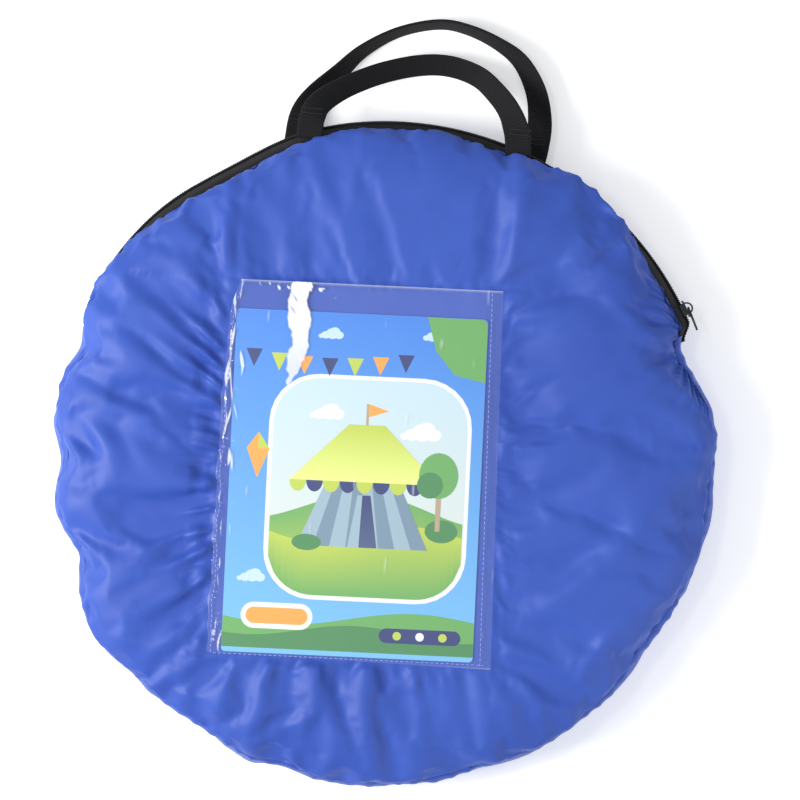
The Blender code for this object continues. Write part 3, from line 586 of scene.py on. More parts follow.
# Where the zip is drawn in: depth, and the angles in degrees
ZIP_TUCK = 7.0 * MM
ZIP_TUCK_RIGHT = 23.6
ZIP_TUCK_REACH = 3.0
ZIP_SLACK = 4.2 * MM
ZIP_SLACK_AT = 118
ZIP_SLACK_HALF = 11
SEAM_FOLLOWS = 1.3            # how much more the seams are drawn in than the slack zip
SIDE_OVERLAP = math.radians(1.2)
print("seam radius", round(SEAM_RADIUS / MM, 1), "rim radius", round(RIM_RADIUS / MM, 1))

# Soft dents and bulges of the rim away from the zip: degrees, how far out, half width in degrees
RIM_DENTS = (
    (160, -6.0, 4.0), (168, 0.5, 4.0), (180, -5.5, 4.0), (198, -5.5, 5.0), (212, 6.5, 8.0),
    (236, -1.5, 4.0), (246, 2.0, 4.0), (252, -1.5, 4.0), (266, 1.0, 5.0), (284, -0.8, 6.0),
    (300, 1.0, 6.0), (326, -2.5, 6.0), (345, 1.2, 8.0), (362, 1.0, 5.0), (374, -4.0, 5.0),
    (380, -8.0, 4.5),
)


def zip_shift(angle):
    """The zip is drawn in a little where the bag is slack, left of the handles."""
    return -ZIP_SLACK * bell((np.degrees(angle) % 360 - ZIP_SLACK_AT) / ZIP_SLACK_HALF)


def zip_share(angle, soft=math.radians(2.5)):
    """1 along the zip and 0 away from it, with a soft step at each end."""
    middle = (ZIP_RIGHT_END + ZIP_LEFT_END) / 2
    half = (ZIP_LEFT_END - ZIP_RIGHT_END) / 2
    away = np.abs((angle - middle + math.pi) % FULL_TURN - math.pi)
    return kept((half - away) / soft + 0.5)


def end_tuck(angle):
    """How far the zip's right end is drawn in under the cloth: a smooth step over the last few degrees."""
    degrees = np.degrees(angle) % 360
    t = kept((ZIP_TUCK_RIGHT - degrees) / ZIP_TUCK_REACH)
    return -ZIP_TUCK * t * t * (3 - 2 * t)


def zip_radius_shift(angle):
    """How far the zip lies out of its circle, from its slack part and its tucked end."""
    return zip_shift(angle) * zip_share(angle) + end_tuck(angle)


def seam_radius(angle):
    """The seams follow the rim's dents, and along the zip they follow the zip."""
    share = zip_share(angle)
    drawn = zip_shift(angle) * SEAM_FOLLOWS + end_tuck(angle)
    return SEAM_RADIUS + bells(angle, RIM_DENTS) * (1 - share) + drawn * share


# %% [markdown]
# The pocket leans a little, and narrows from its foot to its mouth. Places on it
# are worked out in its own frame, u across it and v up it from its middle.

# %% The pocket's place, from its solid
POCKET_TURN = math.atan2(joints["card_slide"]["axis"][0], -joints["card_slide"]["axis"][1])
CARD_LOW, CARD_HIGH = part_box("insert_card")
CARD_SIZE = (154 * MM, 210 * MM)
CARD_PLAY = 0.12 * MM
CARD_MIDDLE = np.array((CARD_LOW + CARD_HIGH).xy) / 2
POCKET_MIDDLE = np.array([-16.0, -11.9]) * MM
POCKET_HEIGHT = 232 * MM
POCKET_TOP = 171 * MM
POCKET_BOTTOM = 177 * MM


def to_pocket(x, y):
    """World places in the pocket's own frame: moved to its middle, then turned back by its lean."""
    return turned(x - POCKET_MIDDLE[0], y - POCKET_MIDDLE[1], -POCKET_TURN)


def from_pocket(u, v, height):
    """The reverse: turned by the lean, then moved out to the pocket's middle, at the given height."""
    x, y = turned(u, v, POCKET_TURN)
    return np.stack([POCKET_MIDDLE[0] + x, POCKET_MIDDLE[1] + y, height], -1)


def pocket_half_width(v):
    """Half the pocket's width, which narrows evenly from its foot to its mouth."""
    share = kept(v / POCKET_HEIGHT + 0.5)
    return (POCKET_BOTTOM + (POCKET_TOP - POCKET_BOTTOM) * share) / 2


def outside_pocket(x, y):
    """Distance out of the pocket's outline; below zero inside it."""
    u, v = to_pocket(x, y)
    return np.maximum(np.abs(u) - pocket_half_width(v), np.abs(v) - POCKET_HEIGHT / 2)


print("the pocket leans", round(math.degrees(POCKET_TURN), 1), "degrees")

# %% [markdown]
# The front cloth starts as rings of points from the middle to the seam. The
# middle is level, the shoulder is a quarter of an ellipse, and between 40 and 70
# degrees the cloth was stuffed over the zip and hides it, so there the shoulder
# bulges out and then turns back under itself to its seam.

# %% The front cloth's starting shape
FRONT_SPOKES = 264
FRONT_RINGS = 60
SHOULDER_START = 0.62
SLOPE_POWER = 22              # how suddenly the overhang ends at the seam
OVERHANG_OUT = 1.25
OVERHANG_UP = 0.34
PIN_EDGE = 4 * MM             # over this width the pins fade in under the pocket's edge
PIN_RIM, PIN_RIM_SOFT = 0.975, 0.02

# Where the cloth is stuffed out past its seam: degrees, how far, half width in degrees
STUFFED = (
    (43, 6.5, 6.0), (54, 12.5, 7.5), (65, 3.6, 4.0), (80, 3.4, 5.0), (94, 2.2, 6.0),
    (139, 5.5, 4.5), (148, 9.0, 5.5), (156, 5.0, 4.0), (5, 4.0, 9.0), (340, 3.0, 12.0), (300, 3.5, 16.0),
    (265, 3.5, 14.0), (232, 4.0, 12.0), (212, 5.0, 9.0), (188, 3.0, 6.0), (172, 3.0, 6.0),
)


def shoulder_point(angle, share, flat, edge, level, seam):
    """Radius and height across a shoulder, share 0 to 1: a quarter ellipse plus the overhang near its end."""
    turn = share * math.pi / 2
    radius = flat + (edge - flat) * np.sin(turn)
    height = seam + (level - seam) * np.cos(turn)
    stuffed = bells(angle, STUFFED)
    lobe = share ** 4 * (1 - share ** SLOPE_POWER) * OVERHANG_OUT
    radius = radius + stuffed * lobe
    height = height + stuffed * OVERHANG_UP * share ** 6 * (1 - share ** SLOPE_POWER)
    return radius, height


def front_shape(spokes, rings):
    """Rings from the middle to the seam: columns even in angle, rows even in cloth length."""
    angle = FULL_TURN * np.arange(spokes) / spokes
    row = np.linspace(0, 1, rings)
    row, angle = np.meshgrid(row, angle, indexing="ij")
    edge = seam_radius(angle)
    flat = edge - FRONT_SHOULDER
    inside = kept(row / SHOULDER_START)
    share = kept((row - SHOULDER_START) / (1 - SHOULDER_START))
    radius, height = shoulder_point(angle, share, flat, edge, BAG_HEIGHT, FRONT_SEAM_HEIGHT)
    level = row < SHOULDER_START
    radius = np.where(level, flat * inside, radius)
    height = np.where(level, BAG_HEIGHT, height)
    return polar(radius, angle, height), angle, row


def disc_faces(rings, spokes):
    """Quads between rings. Row 0 is one point repeated, so the first faces are triangles."""
    quads = grid_faces(rings - 1, spokes, close_columns=True) + 1
    k = np.arange(spokes)
    fan = np.stack([np.zeros_like(k), 1 + k, 1 + (k + 1) % spokes], -1)
    return [quads[:, ::-1], fan]


def disc_object(name, points, uv):
    """A disc whose grid has one point for the whole of its first row."""
    faces = disc_faces(points.shape[0], points.shape[1])
    spokes = points.shape[1]
    flat_points = points.reshape(-1, 3)[spokes - 1:].copy()
    flat_points[0] = points[0].mean(axis=0)
    flat_uv = uv.reshape(-1, 2)[spokes - 1:].copy()
    flat_uv[0] = uv[0].mean(axis=0)
    return mesh_object(name, flat_points, faces, flat_uv)


def pinned_share(points, row):
    """1 where the cloth is sewn or lies under the pocket, and 0 where it is free."""
    under = kept(-outside_pocket(points[..., 0], points[..., 1]) / PIN_EDGE + 0.6)
    rim = kept((row - PIN_RIM) / PIN_RIM_SOFT)
    return np.maximum(under, rim)


start_points, front_angle, front_row = front_shape(FRONT_SPOKES, FRONT_RINGS)
front_uv = polar(front_row * SEAM_RADIUS, front_angle, 0.0)[..., :2]
front_cloth = disc_object("front_cloth", start_points, front_uv)
print("front cloth:", triangles(front_cloth), "triangles before smoothing")

# %% [markdown]
# Now the cloth finds its own wrinkles. It is told to be a little larger than its
# shape, a light pressure keeps it off the pack, and a slight seeded unevenness
# at the start decides where each wrinkle begins. The result is kept within a few
# millimetres, so no wrinkle stands up like a wall or sinks into the pack.

# %% Let the front cloth wrinkle
CLOTH_FRAMES = 26
CLOTH_GROWTH = -0.028
CLOTH_PRESSURE = 0.35
CLOTH_STIFFNESS = 12.0
CLOTH_BENDING = 0.9
CLOTH_QUALITY = 7
WRINKLE_UP = 6.5 * MM
WRINKLE_DOWN = 1.6 * MM
UNEVEN_START = 0.5 * MM


def read_points(mesh):
    """A mesh's points as an array."""
    data = np.empty(len(mesh.vertices) * 3)
    mesh.vertices.foreach_get("co", data)
    return data.reshape(-1, 3)


def write_points(mesh, points):
    """Puts points back into a mesh."""
    mesh.vertices.foreach_set("co", np.asarray(points, float).ravel())
    mesh.update()


def add_pins(piece, share, name="sewn"):
    """A vertex group whose weights are in steps of a tenth, filled one step at a time."""
    group = piece.vertex_groups.new(name=name)
    level = np.rint(np.clip(share, 0, 1) * 10).astype(int)
    for step in range(1, 11):
        group.add(np.flatnonzero(level == step).tolist(), step / 10, "REPLACE")
    return group


def wrinkle(piece, share):
    """Runs cloth on a piece that is pinned by share, and returns where its points end."""
    group = add_pins(piece, share)
    cloth = piece.modifiers.new("wrinkle", "CLOTH")
    look = cloth.settings
    look.quality = CLOTH_QUALITY
    look.mass = 0.12
    look.air_damping = 2.0
    look.tension_stiffness = CLOTH_STIFFNESS
    look.compression_stiffness = CLOTH_STIFFNESS
    look.shear_stiffness = CLOTH_STIFFNESS * 0.4
    look.bending_stiffness = CLOTH_BENDING
    look.vertex_group_mass = group.name
    look.pin_stiffness = 1.0
    look.shrink_min = CLOTH_GROWTH
    look.use_pressure = True
    look.uniform_pressure_force = CLOTH_PRESSURE
    look.effector_weights.gravity = 0.0
    cloth.point_cache.frame_start = 1
    cloth.point_cache.frame_end = CLOTH_FRAMES
    for step in range(1, CLOTH_FRAMES + 1):
        scene.frame_set(step)
    depsgraph = bpy.context.evaluated_depsgraph_get()
    settled = read_points(piece.evaluated_get(depsgraph).to_mesh())
    piece.modifiers.remove(cloth)
    piece.vertex_groups.clear()
    scene.frame_set(1)
    return settled


start_flat = read_points(front_cloth.data)
pins = pinned_share(start_flat, front_row.ravel()[FRONT_SPOKES - 1:])
seeded = soft_noise(start_flat[:, 0], start_flat[:, 1], 42 * MM, 11) * (1 - pins) * UNEVEN_START
upwards = np.array([0, 0, 1.0]) * seeded[:, None]
write_points(front_cloth.data, start_flat + upwards)
settled = wrinkle(front_cloth, pins)
moved = settled - start_flat
print("cloth moved up", round(moved[:, 2].max() / MM, 1), "down", round(moved[:, 2].min() / MM, 1), "mm")

# %% [markdown]
# The stitching leaves marks that a coarse simulation can't find. Left of the
# pocket the cloth is gathered, so short pleats run away from the seam. Below the
# pocket long folds hang towards the rim. At the zip's right end the cloth is
# pinched, and all round the rim the seam puckers it. Each of these marks is a
# wave across the folds, times a fade along them. The larger creases belong to
# this one bag, so they are listed one by one: each is a curve through a few
# points, with a bell-shaped ridge or valley along it.

# %% Marks of the stitching
# Each mark: height, width of one fold, seed of its drift, and how far it reaches, in millimetres
MARKS = {
    "gathers": (3.5, 17, 3, 66),
    "small gathers": (1.1, 8.5, 4, 28),
    "long gathers": (2.4, 40, 13, 120),
    "hanging folds": (3.3, 24, 5, 95),
    "small hanging folds": (0.7, 11, 6, 30),
    "right of the pocket": (0.8, 46, 7, 115),
    "above the pocket": (1.0, 52, 8, 95),
}
PINCH_AT = 19.5               # degrees, as the next one
PINCH_HALF = 10
PINCH_RISE = 3.0 * MM
BROAD_WAVES = 1.6 * MM
EXTRA_LIFT = 1.4 * MM
PUCKER_WIDTH = 12.5 * MM
FOLD_STRENGTH = 1.45
FOLD_STEEPER = 0.6

# The listed folds: how high, half width, then points along the fold, all in millimetres
FOLDS = (
    (-2.2, 7, ((184, 74), (166, 80), (146, 91))),
    (2.0, 6, ((182, 64), (168, 70), (152, 82), (134, 95))),
    (-1.4, 5, ((181, 55), (165, 64), (150, 68))),
    (2.2, 13, ((160, 96), (134, 110), (112, 124))),
    (-1.6, 9, ((150, 78), (128, 94), (108, 98))),
    (1.9, 6, ((87, 184), (82, 146), (72, 106))),
    (-1.8, 7, ((76, 180), (68, 146), (62, 112))),
    (1.6, 7, ((57, 176), (55, 140), (50, 110))),
    (-2.4, 8, ((-160, 84), (-146, 72), (-132, 58), (-118, 46))),
    (1.8, 9, ((-168, 76), (-156, 62), (-144, 50))),
    (-2.4, 8, ((-186, 50), (-168, 42), (-148, 32), (-136, 31))),
    (-2.0, 6, ((-120, 66), (-110, 54), (-101, 42))),
    (-1.6, 7, ((-108, 156), (-106, 140), (-100, 124))),
    (1.8, 8, ((-96, 142), (-88, 118), (-78, 106))),
    (-2.4, 11, ((74, -92), (98, -82), (126, -60), (150, -38))),
    (2.6, 12, ((96, -90), (120, -76), (146, -56), (166, -20), (184, -2))),
    (-2.0, 10, ((192, -14), (184, -34), (174, -54))),
    (-2.8, 8, ((170, -110), (156, -124), (142, -142))),
    (2.4, 8, ((152, -96), (138, -110), (124, -128), (118, -142))),
    (-1.8, 7, ((80, -130), (104, -138), (126, -148))),
    (2.0, 9, ((76, -142), (96, -152), (118, -166))),
    (-2.2, 7, ((-192, 26), (-182, 10), (-172, -4))),
    (2.2, 8, ((-180, 24), (-168, 4), (-160, -12))),
    (-2.6, 14, ((-180, -16), (-160, -34), (-140, -46), (-118, -56))),
    (2.0, 9, ((-158, 20), (-140, -6), (-116, -16))),
    (-2.2, 7, ((-118, -146), (-106, -138), (-92, -128))),
)


def fold_route(points, count=24):
    """A smooth curve through a few points: a Hermite cubic in each span, its slopes from the neighbours."""
    points = np.array(points, float) * MM
    slope = np.gradient(points, axis=0)
    share = np.linspace(0, len(points) - 1 - 1e-9, count)
    span = share.astype(int)
    t = (share - span)[:, None]
    a, b, da, db = points[span], points[span + 1], slope[span], slope[span + 1]
    return a + da * t + (3 * (b - a) - 2 * da - db) * t ** 2 + (2 * (a - b) + da + db) * t ** 3


def placed_folds(x, y):
    """Sum of the listed folds: a bell across the curve, steeper on one side, that fades to its ends."""
    height = np.zeros_like(x)
    for rise, half, points in FOLDS:
        route = fold_route(points)
        along = unit(np.gradient(route, axis=0))
        apart = np.stack([x, y], -1)[..., None, :] - route
        near = np.argmin(np.linalg.norm(apart, axis=-1), axis=-1)
        out = np.take_along_axis(apart, near[..., None, None], axis=-2)[..., 0, :]
        aside = along[near, 0] * out[..., 1] - along[near, 1] * out[..., 0]
        on = along[near, 0] * out[..., 0] + along[near, 1] * out[..., 1]
        step = np.linalg.norm(route[-1] - route[0]) / len(route)
        past = np.maximum(np.abs(on) - 2 * step, 0)
        across = np.hypot(aside / np.where(aside > 0, 1.0, FOLD_STEEPER), past) / (half * MM)
        share = np.sin(math.pi * kept((near + 0.5 + on / step) / len(route))) ** 0.7
        height += rise * FOLD_STRENGTH * MM * share * bell(across)
    return height


def mark(kind, across, distance):
    """One kind of mark: its waves across the folds, times its fade with the distance."""
    rise, width, seed, reach = MARKS[kind]
    return rise * MM * ridges(across, width * MM, seed) * fade(distance, reach * MM)


def stitched_marks(x, y, angle, row):
    """Height added by gathers at the pocket, folds below it, the pinch and the rim's puckers.

    Limits on from_rim are shares of the way from the rim to the middle.
    """
    u, v = to_pocket(x, y)
    half = pocket_half_width(v)
    half_height = POCKET_HEIGHT / 2
    left, right, below, above = -half - u, u - half, -half_height - v, v - half_height
    from_rim = 1 - row
    spread = 1 + np.clip(left, 0, None) / (90 * MM)
    beside = kept(1 - np.abs(v - 5 * MM) / (half_height + 12 * MM)) ** 0.5
    height = mark("gathers", (v + 6 * MM) / spread, left) * beside
    height += mark("small gathers", v / spread, left) * beside
    slanted = (v + 22 * MM) / (spread * 1.25) + 0.18 * left
    height += mark("long gathers", slanted, left - 14 * MM + 14 * MM * fade(left, 14 * MM)) * beside
    fan = u / (1 + np.clip(below, 0, None) / (260 * MM))
    inside = kept(1.05 - np.abs(u + 8 * MM) / (100 * MM)) ** 0.6
    height += mark("hanging folds", fan, below) * inside
    height += mark("small hanging folds", fan, below) * inside
    height += mark("right of the pocket", v + 0.35 * right, right)
    height += mark("above the pocket", u - 0.25 * above, above)
    outside = kept(outside_pocket(x, y) / (18 * MM))
    broad = soft_noise(x + 0.5 * y, 0.6 * y, 95 * MM, 17) * kept(from_rim / 0.12)
    height += broad * outside * BROAD_WAVES
    degrees = np.degrees(angle) % 360
    pinch = bell((degrees - PINCH_AT) / PINCH_HALF) * fade(from_rim, 0.44)
    fan_angle = (degrees - PINCH_AT) / (0.25 + from_rim * 3.0)
    height += np.sin(fan_angle * 1.5) * pinch * PINCH_RISE
    height += placed_folds(x, y) * kept(from_rim / 0.06)
    height += EXTRA_LIFT * outside * kept(from_rim / 0.3)
    along = angle * SEAM_RADIUS
    uneven = 0.75 + 0.6 * soft_noise(along, angle * 0, 70 * MM, 14)
    pucker = ridges(along, PUCKER_WIDTH, 9) * fade(from_rim, 0.16) * uneven
    long_pucker = ridges(along, 31 * MM, 10) * fade(from_rim, 0.42)
    return height + (pucker * 0.5 + long_pucker * 1.3) * MM * kept(from_rim / 0.03)


def to_grid(values, rings, spokes):
    """A disc's points as a full grid again, with the middle point repeated along the first row."""
    first = np.repeat(values[:1], spokes, axis=0)
    return np.concatenate([first, values[1:]]).reshape(rings, spokes, -1)


def halved(grid, axis, closed):
    """Twice as many points along an axis. Each new one is the cubic middle (-a + 9b + 9c - d) / 16."""
    grid = np.moveaxis(grid, axis, 0)
    if closed:
        b, c = grid, np.roll(grid, -1, axis=0)
        a, d = np.roll(grid, 1, axis=0), np.roll(grid, -2, axis=0)
    else:
        b, c = grid[:-1], grid[1:]
        a, d = np.concatenate([grid[:1], grid[:-2]]), np.concatenate([grid[2:], grid[-1:]])
    middle = (9 * (b + c) - a - d) / 16
    out = np.empty((len(grid) + len(middle),) + grid.shape[1:])
    out[0::2] = grid
    out[1::2] = middle
    return np.moveaxis(out, 0, axis)


def refined(grid):
    """A disc's grid with half the spacing both ways."""
    return halved(halved(grid, 0, False), 1, True)


print("hand-placed folds:", len(FOLDS), "and other marks:", len(MARKS))

# %% [markdown]
# The cloth's grid is refined and the marks are added to what the simulation
# found. In the lane above the pocket the cloth is kept low, so that the card can
# slide out over it, and the rim gets a fine scalloped edge.

# %% The front cloth's final shape
# The lane of the card: half width and start up the pocket, with their soft edges
LANE_HALF, LANE_EDGE = 88 * MM, 9 * MM
LANE_START, LANE_RAMP = 106 * MM, 10 * MM
LANE_SINK = 2.1 * MM
LANE_LOWEST = 4.6 * MM
LANE_HIGHEST = 0.1 * MM
SIDEWAYS = 4 * MM

rest_grid = refined(to_grid(start_flat, FRONT_RINGS, FRONT_SPOKES))
moved_grid = refined(to_grid(moved, FRONT_RINGS, FRONT_SPOKES))
fine_rings, fine_spokes = rest_grid.shape[:2]
fine_row, fine_angle = np.meshgrid(
    np.linspace(0, 1, fine_rings), FULL_TURN * np.arange(fine_spokes) / fine_spokes, indexing="ij"
)
marks = stitched_marks(rest_grid[..., 0], rest_grid[..., 1], fine_angle, fine_row)
free = 1 - pinned_share(rest_grid, fine_row)
shaped = rest_grid.copy()
lift = moved_grid[..., 2] + marks * free
lane_u, lane_v = to_pocket(rest_grid[..., 0], rest_grid[..., 1])
lane = kept((LANE_HALF - np.abs(lane_u)) / LANE_EDGE) * kept((lane_v - LANE_START) / LANE_RAMP) * free
sunk = soft_limit(lift * 0.8 - LANE_SINK, -LANE_LOWEST, LANE_HIGHEST)
lift = soft_limit(lift, -WRINKLE_DOWN, WRINKLE_UP) * (1 - lane) + sunk * lane
shaped[..., 2] += lift
card_path = (np.abs(lane_u) < CARD_SIZE[0] / 2 + 4 * MM) & (lane_v > -POCKET_HEIGHT / 2)
shaped[..., 2] = np.where(card_path, np.minimum(shaped[..., 2], CARD_LOW.z - CARD_PLAY), shaped[..., 2])
shaped[..., :2] += soft_limit(moved_grid[..., :2], -SIDEWAYS, SIDEWAYS)
fine_along = fine_angle * SEAM_RADIUS
scallop = ridges(fine_along, PUCKER_WIDTH, 9) + 0.6 * ridges(fine_along, 7 * MM, 19)
scallop *= fade(1 - fine_row, 0.12) * kept((1 - fine_row) / 0.04) * (0.3 + 0.6 * zip_share(fine_angle)) * MM
shaped += polar(scallop, fine_angle, 0.0)
fine_uv = polar(fine_row, fine_angle, 0.0)[..., :2] * SEAM_RADIUS
bpy.data.objects.remove(front_cloth)
front_cloth = disc_object("front_cloth", shaped, fine_uv)
print("front cloth", triangles(front_cloth), "triangles, top at", round(shaped[..., 2].max() / MM, 1), "mm")

# %% [markdown]
# The cloth crosses the fold of the flap, where padded cloth bends in a strip
# about 18 mm wide. Here the piece gets its finish, the solids it replaces are
# hidden and its place is fixed in the world, so it follows neither body.


def bend_at(piece, material, replaced):
    """Finish a piece that crosses a joint: it gets its material, the solids it replaces are hidden, and its
    place is fixed in the world.
    """
    piece.data.materials.clear()
    piece.data.materials.append(material)
    if replaced:
        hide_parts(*replaced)
    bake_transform(piece)
    return piece


def bend_at_fold(piece, material, replaced=()):
    """The same for a piece that crosses the flap's fold."""
    return bend_at(piece, material, replaced)


bend_at_fold(front_cloth, NYLON, ("front_panel", "front_flap"))

# %% [markdown]
# The back cloth is the same disc again, level where it lies on the floor, so it
# is worked out by the same shoulder formula turned upside down. The side is a
# strip sewn between the two discs where there is no zip. It stands out past its
# seams, and both seams pucker it into short upright pleats.

# %% Back cloth and side cloth
BACK_SPOKES = 300
BACK_RINGS = 60
SIDE_COLUMNS = 560
SIDE_ROWS = 15
SIDE_BULGE = RIM_RADIUS - SEAM_RADIUS
BACK_WAVES = 1.2 * MM
BACK_PUCKER = 0.8 * MM
PLEAT = 1.4 * MM
SIDE_SLACK = 1.2 * MM

angle = FULL_TURN * np.arange(BACK_SPOKES) / BACK_SPOKES
row, angle = np.meshgrid(np.linspace(0, 1, BACK_RINGS), angle, indexing="ij")
edge = seam_radius(angle)
level = row < SHOULDER_START
share = kept((row - SHOULDER_START) / (1 - SHOULDER_START))
turn = share * math.pi / 2
flat = (edge - BACK_SHOULDER) * kept(row / SHOULDER_START)
radius = np.where(level, flat, edge - BACK_SHOULDER * (1 - np.sin(turn)))
height = np.where(level, 0.0, BACK_SEAM_HEIGHT * (1 - np.cos(turn)))
pucker = ridges(angle * SEAM_RADIUS, 15 * MM, 21) * fade(1 - row, 0.2) * kept((1 - row) / 0.04)
soft = soft_noise(radius * np.cos(angle), radius * np.sin(angle), 60 * MM, 22)
height = height + share * (1 - share) * 4 * soft * BACK_WAVES - pucker * BACK_PUCKER
points = polar(radius, angle, np.maximum(height, 0.0))
back_cloth = disc_object("back_cloth", points[:, ::-1], points[:, ::-1, :2])
finish_piece(back_cloth, "bag", NYLON, ("back_panel",))


def side_shape(columns, rows, start, end):
    """A strip round the rim from seam to seam. It bulges as half an ellipse and follows the rim's dents."""
    angle = np.linspace(start, end, columns)
    t = np.linspace(0, math.pi, rows)
    t, angle = np.meshgrid(t, angle, indexing="ij")
    height = RIM_HEIGHT + (FRONT_SEAM_HEIGHT - BACK_SEAM_HEIGHT) / 2 * np.cos(t)
    ends = np.minimum(angle - start, end - angle) / math.radians(6)
    bulge = SIDE_BULGE * np.sin(t) ** 0.7 * kept(0.75 + 0.25 * ends)
    along = angle * SEAM_RADIUS
    pleat = ridges(along, 11 * MM, 31) * np.abs(np.cos(t)) ** 1.5 * np.sin(t) * PLEAT
    slack = soft_noise(along, height * 2, 46 * MM, 32) * np.sin(t) * SIDE_SLACK
    return polar(seam_radius(angle) + bulge + pleat + slack, angle, height), along


side_points, side_along = side_shape(
    SIDE_COLUMNS, SIDE_ROWS, ZIP_LEFT_END - SIDE_OVERLAP / 2, ZIP_RIGHT_END + FULL_TURN + SIDE_OVERLAP
)
side_uv = np.stack([side_along, side_points[..., 2]], -1)
side_cloth = mesh_object("side_cloth", side_points, grid_faces(SIDE_ROWS, SIDE_COLUMNS)[:, ::-1], side_uv)
finish_piece(side_cloth, "bag", NYLON, ("side_gusset",))

# %% [markdown]
# The two discs are joined to the side by lockstitched seams. A seam shows as a
# fine cord of turned cloth with small even stitches sunk into it. The cord is a
# tube along the seam, and the stitches are one mesh of short beads.

# %% Seams and their stitches
BEAD_SIDES = 8
# A bead's rings: place along its length and share of its full size
BEAD_RINGS = ((-0.5, 0.25), (-0.3, 0.85), (0.3, 0.85), (0.5, 0.25))
SEAM_CORD = 0.75 * MM
CORD_OUT = 0.2 * MM
STITCHES_IN = 2.6 * MM
STITCHES_UP = 1.2 * MM
# A stitch in the blue cloth: pitch, length, width and height
SEAM_STITCH = (3.0 * MM, 2.4 * MM, 0.5 * MM, 0.35 * MM)


def seam_path(radius_out, height, start, end, step=2.0 * MM):
    """Points along a seam, in even steps of cloth."""
    count = int((end - start) * SEAM_RADIUS / step) + 1
    angle = np.linspace(start, end, count)
    return polar(seam_radius(angle) + radius_out, angle, height)


def beads(name, path, pitch, length, width, rise, up=(0, 0, 1)):
    """Short stitches along a path: each is a low eight-sided bead, all in one mesh."""
    distance = path_lengths(path)
    places = np.arange(pitch / 2, distance[-1], pitch)
    centre, ahead, back = (along_path(places + pitch * k, distance, path) for k in (0, 0.1, -0.1))
    along = unit(ahead - back)
    across = unit(np.cross(along, np.asarray(up, float)))
    over = np.cross(across, along)
    turn = FULL_TURN * np.arange(BEAD_SIDES) / BEAD_SIDES
    turn = turn[:, None]
    circle = across[:, None] * np.cos(turn) * width / 2 + over[:, None] * np.sin(turn) * rise
    rings = []
    for shift, size in BEAD_RINGS:
        rings.append((centre + along * shift * length)[:, None] + circle * size)
    first = BEAD_SIDES * len(BEAD_RINGS) * np.arange(len(places))
    quads = grid_faces(len(BEAD_RINGS), BEAD_SIDES, close_columns=True)[:, ::-1]
    ring = first[:, None] + np.arange(BEAD_SIDES)
    faces = [(first[:, None, None] + quads).reshape(-1, 4), ring, ring[:, ::-1] + BEAD_SIDES * 3]
    return mesh_object(name, np.stack(rings, 1), faces)


for name, height, upwards in (("front_seam_left", FRONT_SEAM_HEIGHT, 1), ("back_seam", BACK_SEAM_HEIGHT, -1)):
    ends = ZIP_LEFT_END, ZIP_RIGHT_END + FULL_TURN
    cord = tube(name + "_edge", seam_path(CORD_OUT, height, *ends), SEAM_CORD, 8)
    finish_piece(cord, "bag", NYLON)
    route = seam_path(-STITCHES_IN, height + upwards * STITCHES_UP, *ends)
    stitch = beads(name + "_stitches", route, *SEAM_STITCH, (0, 0, upwards))
    finish_piece(stitch, "bag", THREAD)
    print(name, "has", len(stitch.data.vertices) // (BEAD_SIDES * len(BEAD_RINGS)), "stitches")

# %% [markdown]
# The webbing is woven polypropylene, 16 mm wide and 1.5 mm thick. It leaves the
# seam flat and then turns halfway on edge, as a stiff band does when it bends
# sideways. The solid's route is written as shares of its span, reach and drop,
# so the same shares are followed here with many more stations and with rounded
# edges. Ribs run along it and every second pick shows as a tiny chevron.

# %% Webbing handles
WEBBING_WIDTH = 16 * MM
WEBBING_THICKNESS = 1.5 * MM
HANDLE_ROOT_GAP = 0.9 * MM
HANDLE_TUCK = 4.0 * MM
HANDLE_STATIONS = 180
ROUTE_STEPS = 8
RIB_WIDTH = 1.6 * MM
PICK_LENGTH = 1.9 * MM

# Across the half span, out along the reach, down from root to top, and turn as a share of a right angle
FRONT_HANDLE_SHARES = (
    (-1.00, 0.00, 0.00, 0.00), (-0.99, 0.20, 0.02, 0.06), (-0.92, 0.38, 0.12, 0.30),
    (-0.71, 0.60, 0.42, 0.44), (-0.40, 0.82, 0.78, 0.46), (-0.05, 0.97, 0.97, 0.46),
    (0.24, 1.00, 1.00, 0.46), (0.51, 0.91, 0.90, 0.46), (0.70, 0.72, 0.62, 0.44),
    (0.84, 0.50, 0.28, 0.36), (0.93, 0.24, 0.04, 0.12), (0.96, 0.00, 0.00, 0.00),
)
REAR_HANDLE_SHARES = (
    (-1.03, 0.00, 0.00, 0.00), (-1.01, 0.18, 0.25, 0.10), (-0.92, 0.34, 0.55, 0.35),
    (-0.73, 0.54, 0.80, 0.58), (-0.54, 0.73, 0.93, 0.74), (-0.25, 0.90, 1.00, 0.83),
    (0.09, 0.99, 1.00, 0.84), (0.36, 0.97, 1.00, 0.82), (0.64, 0.88, 1.00, 0.75),
    (0.84, 0.76, 0.93, 0.62), (0.99, 0.55, 0.80, 0.45), (1.05, 0.32, 0.50, 0.28),
    (1.04, 0.13, 0.20, 0.08), (1.02, 0.00, 0.00, 0.00),
)


# Each handle: its shares, half its span, its reach, and its heights at the root and at the top
FRONT_ROUTE = FRONT_HANDLE_SHARES, 65.75 * MM, 52 * MM, 36.75 * MM, 6.6 * MM
REAR_ROUTE = REAR_HANDLE_SHARES, 71.5 * MM, 81 * MM, 13.0 * MM, 8.4 * MM


def from_mouth(points):
    """Points of the mouth's frame turned into the world by the mouth's lean."""
    return np.stack([*turned(points[..., 0], points[..., 1], MOUTH_TURN), points[..., 2]], -1)


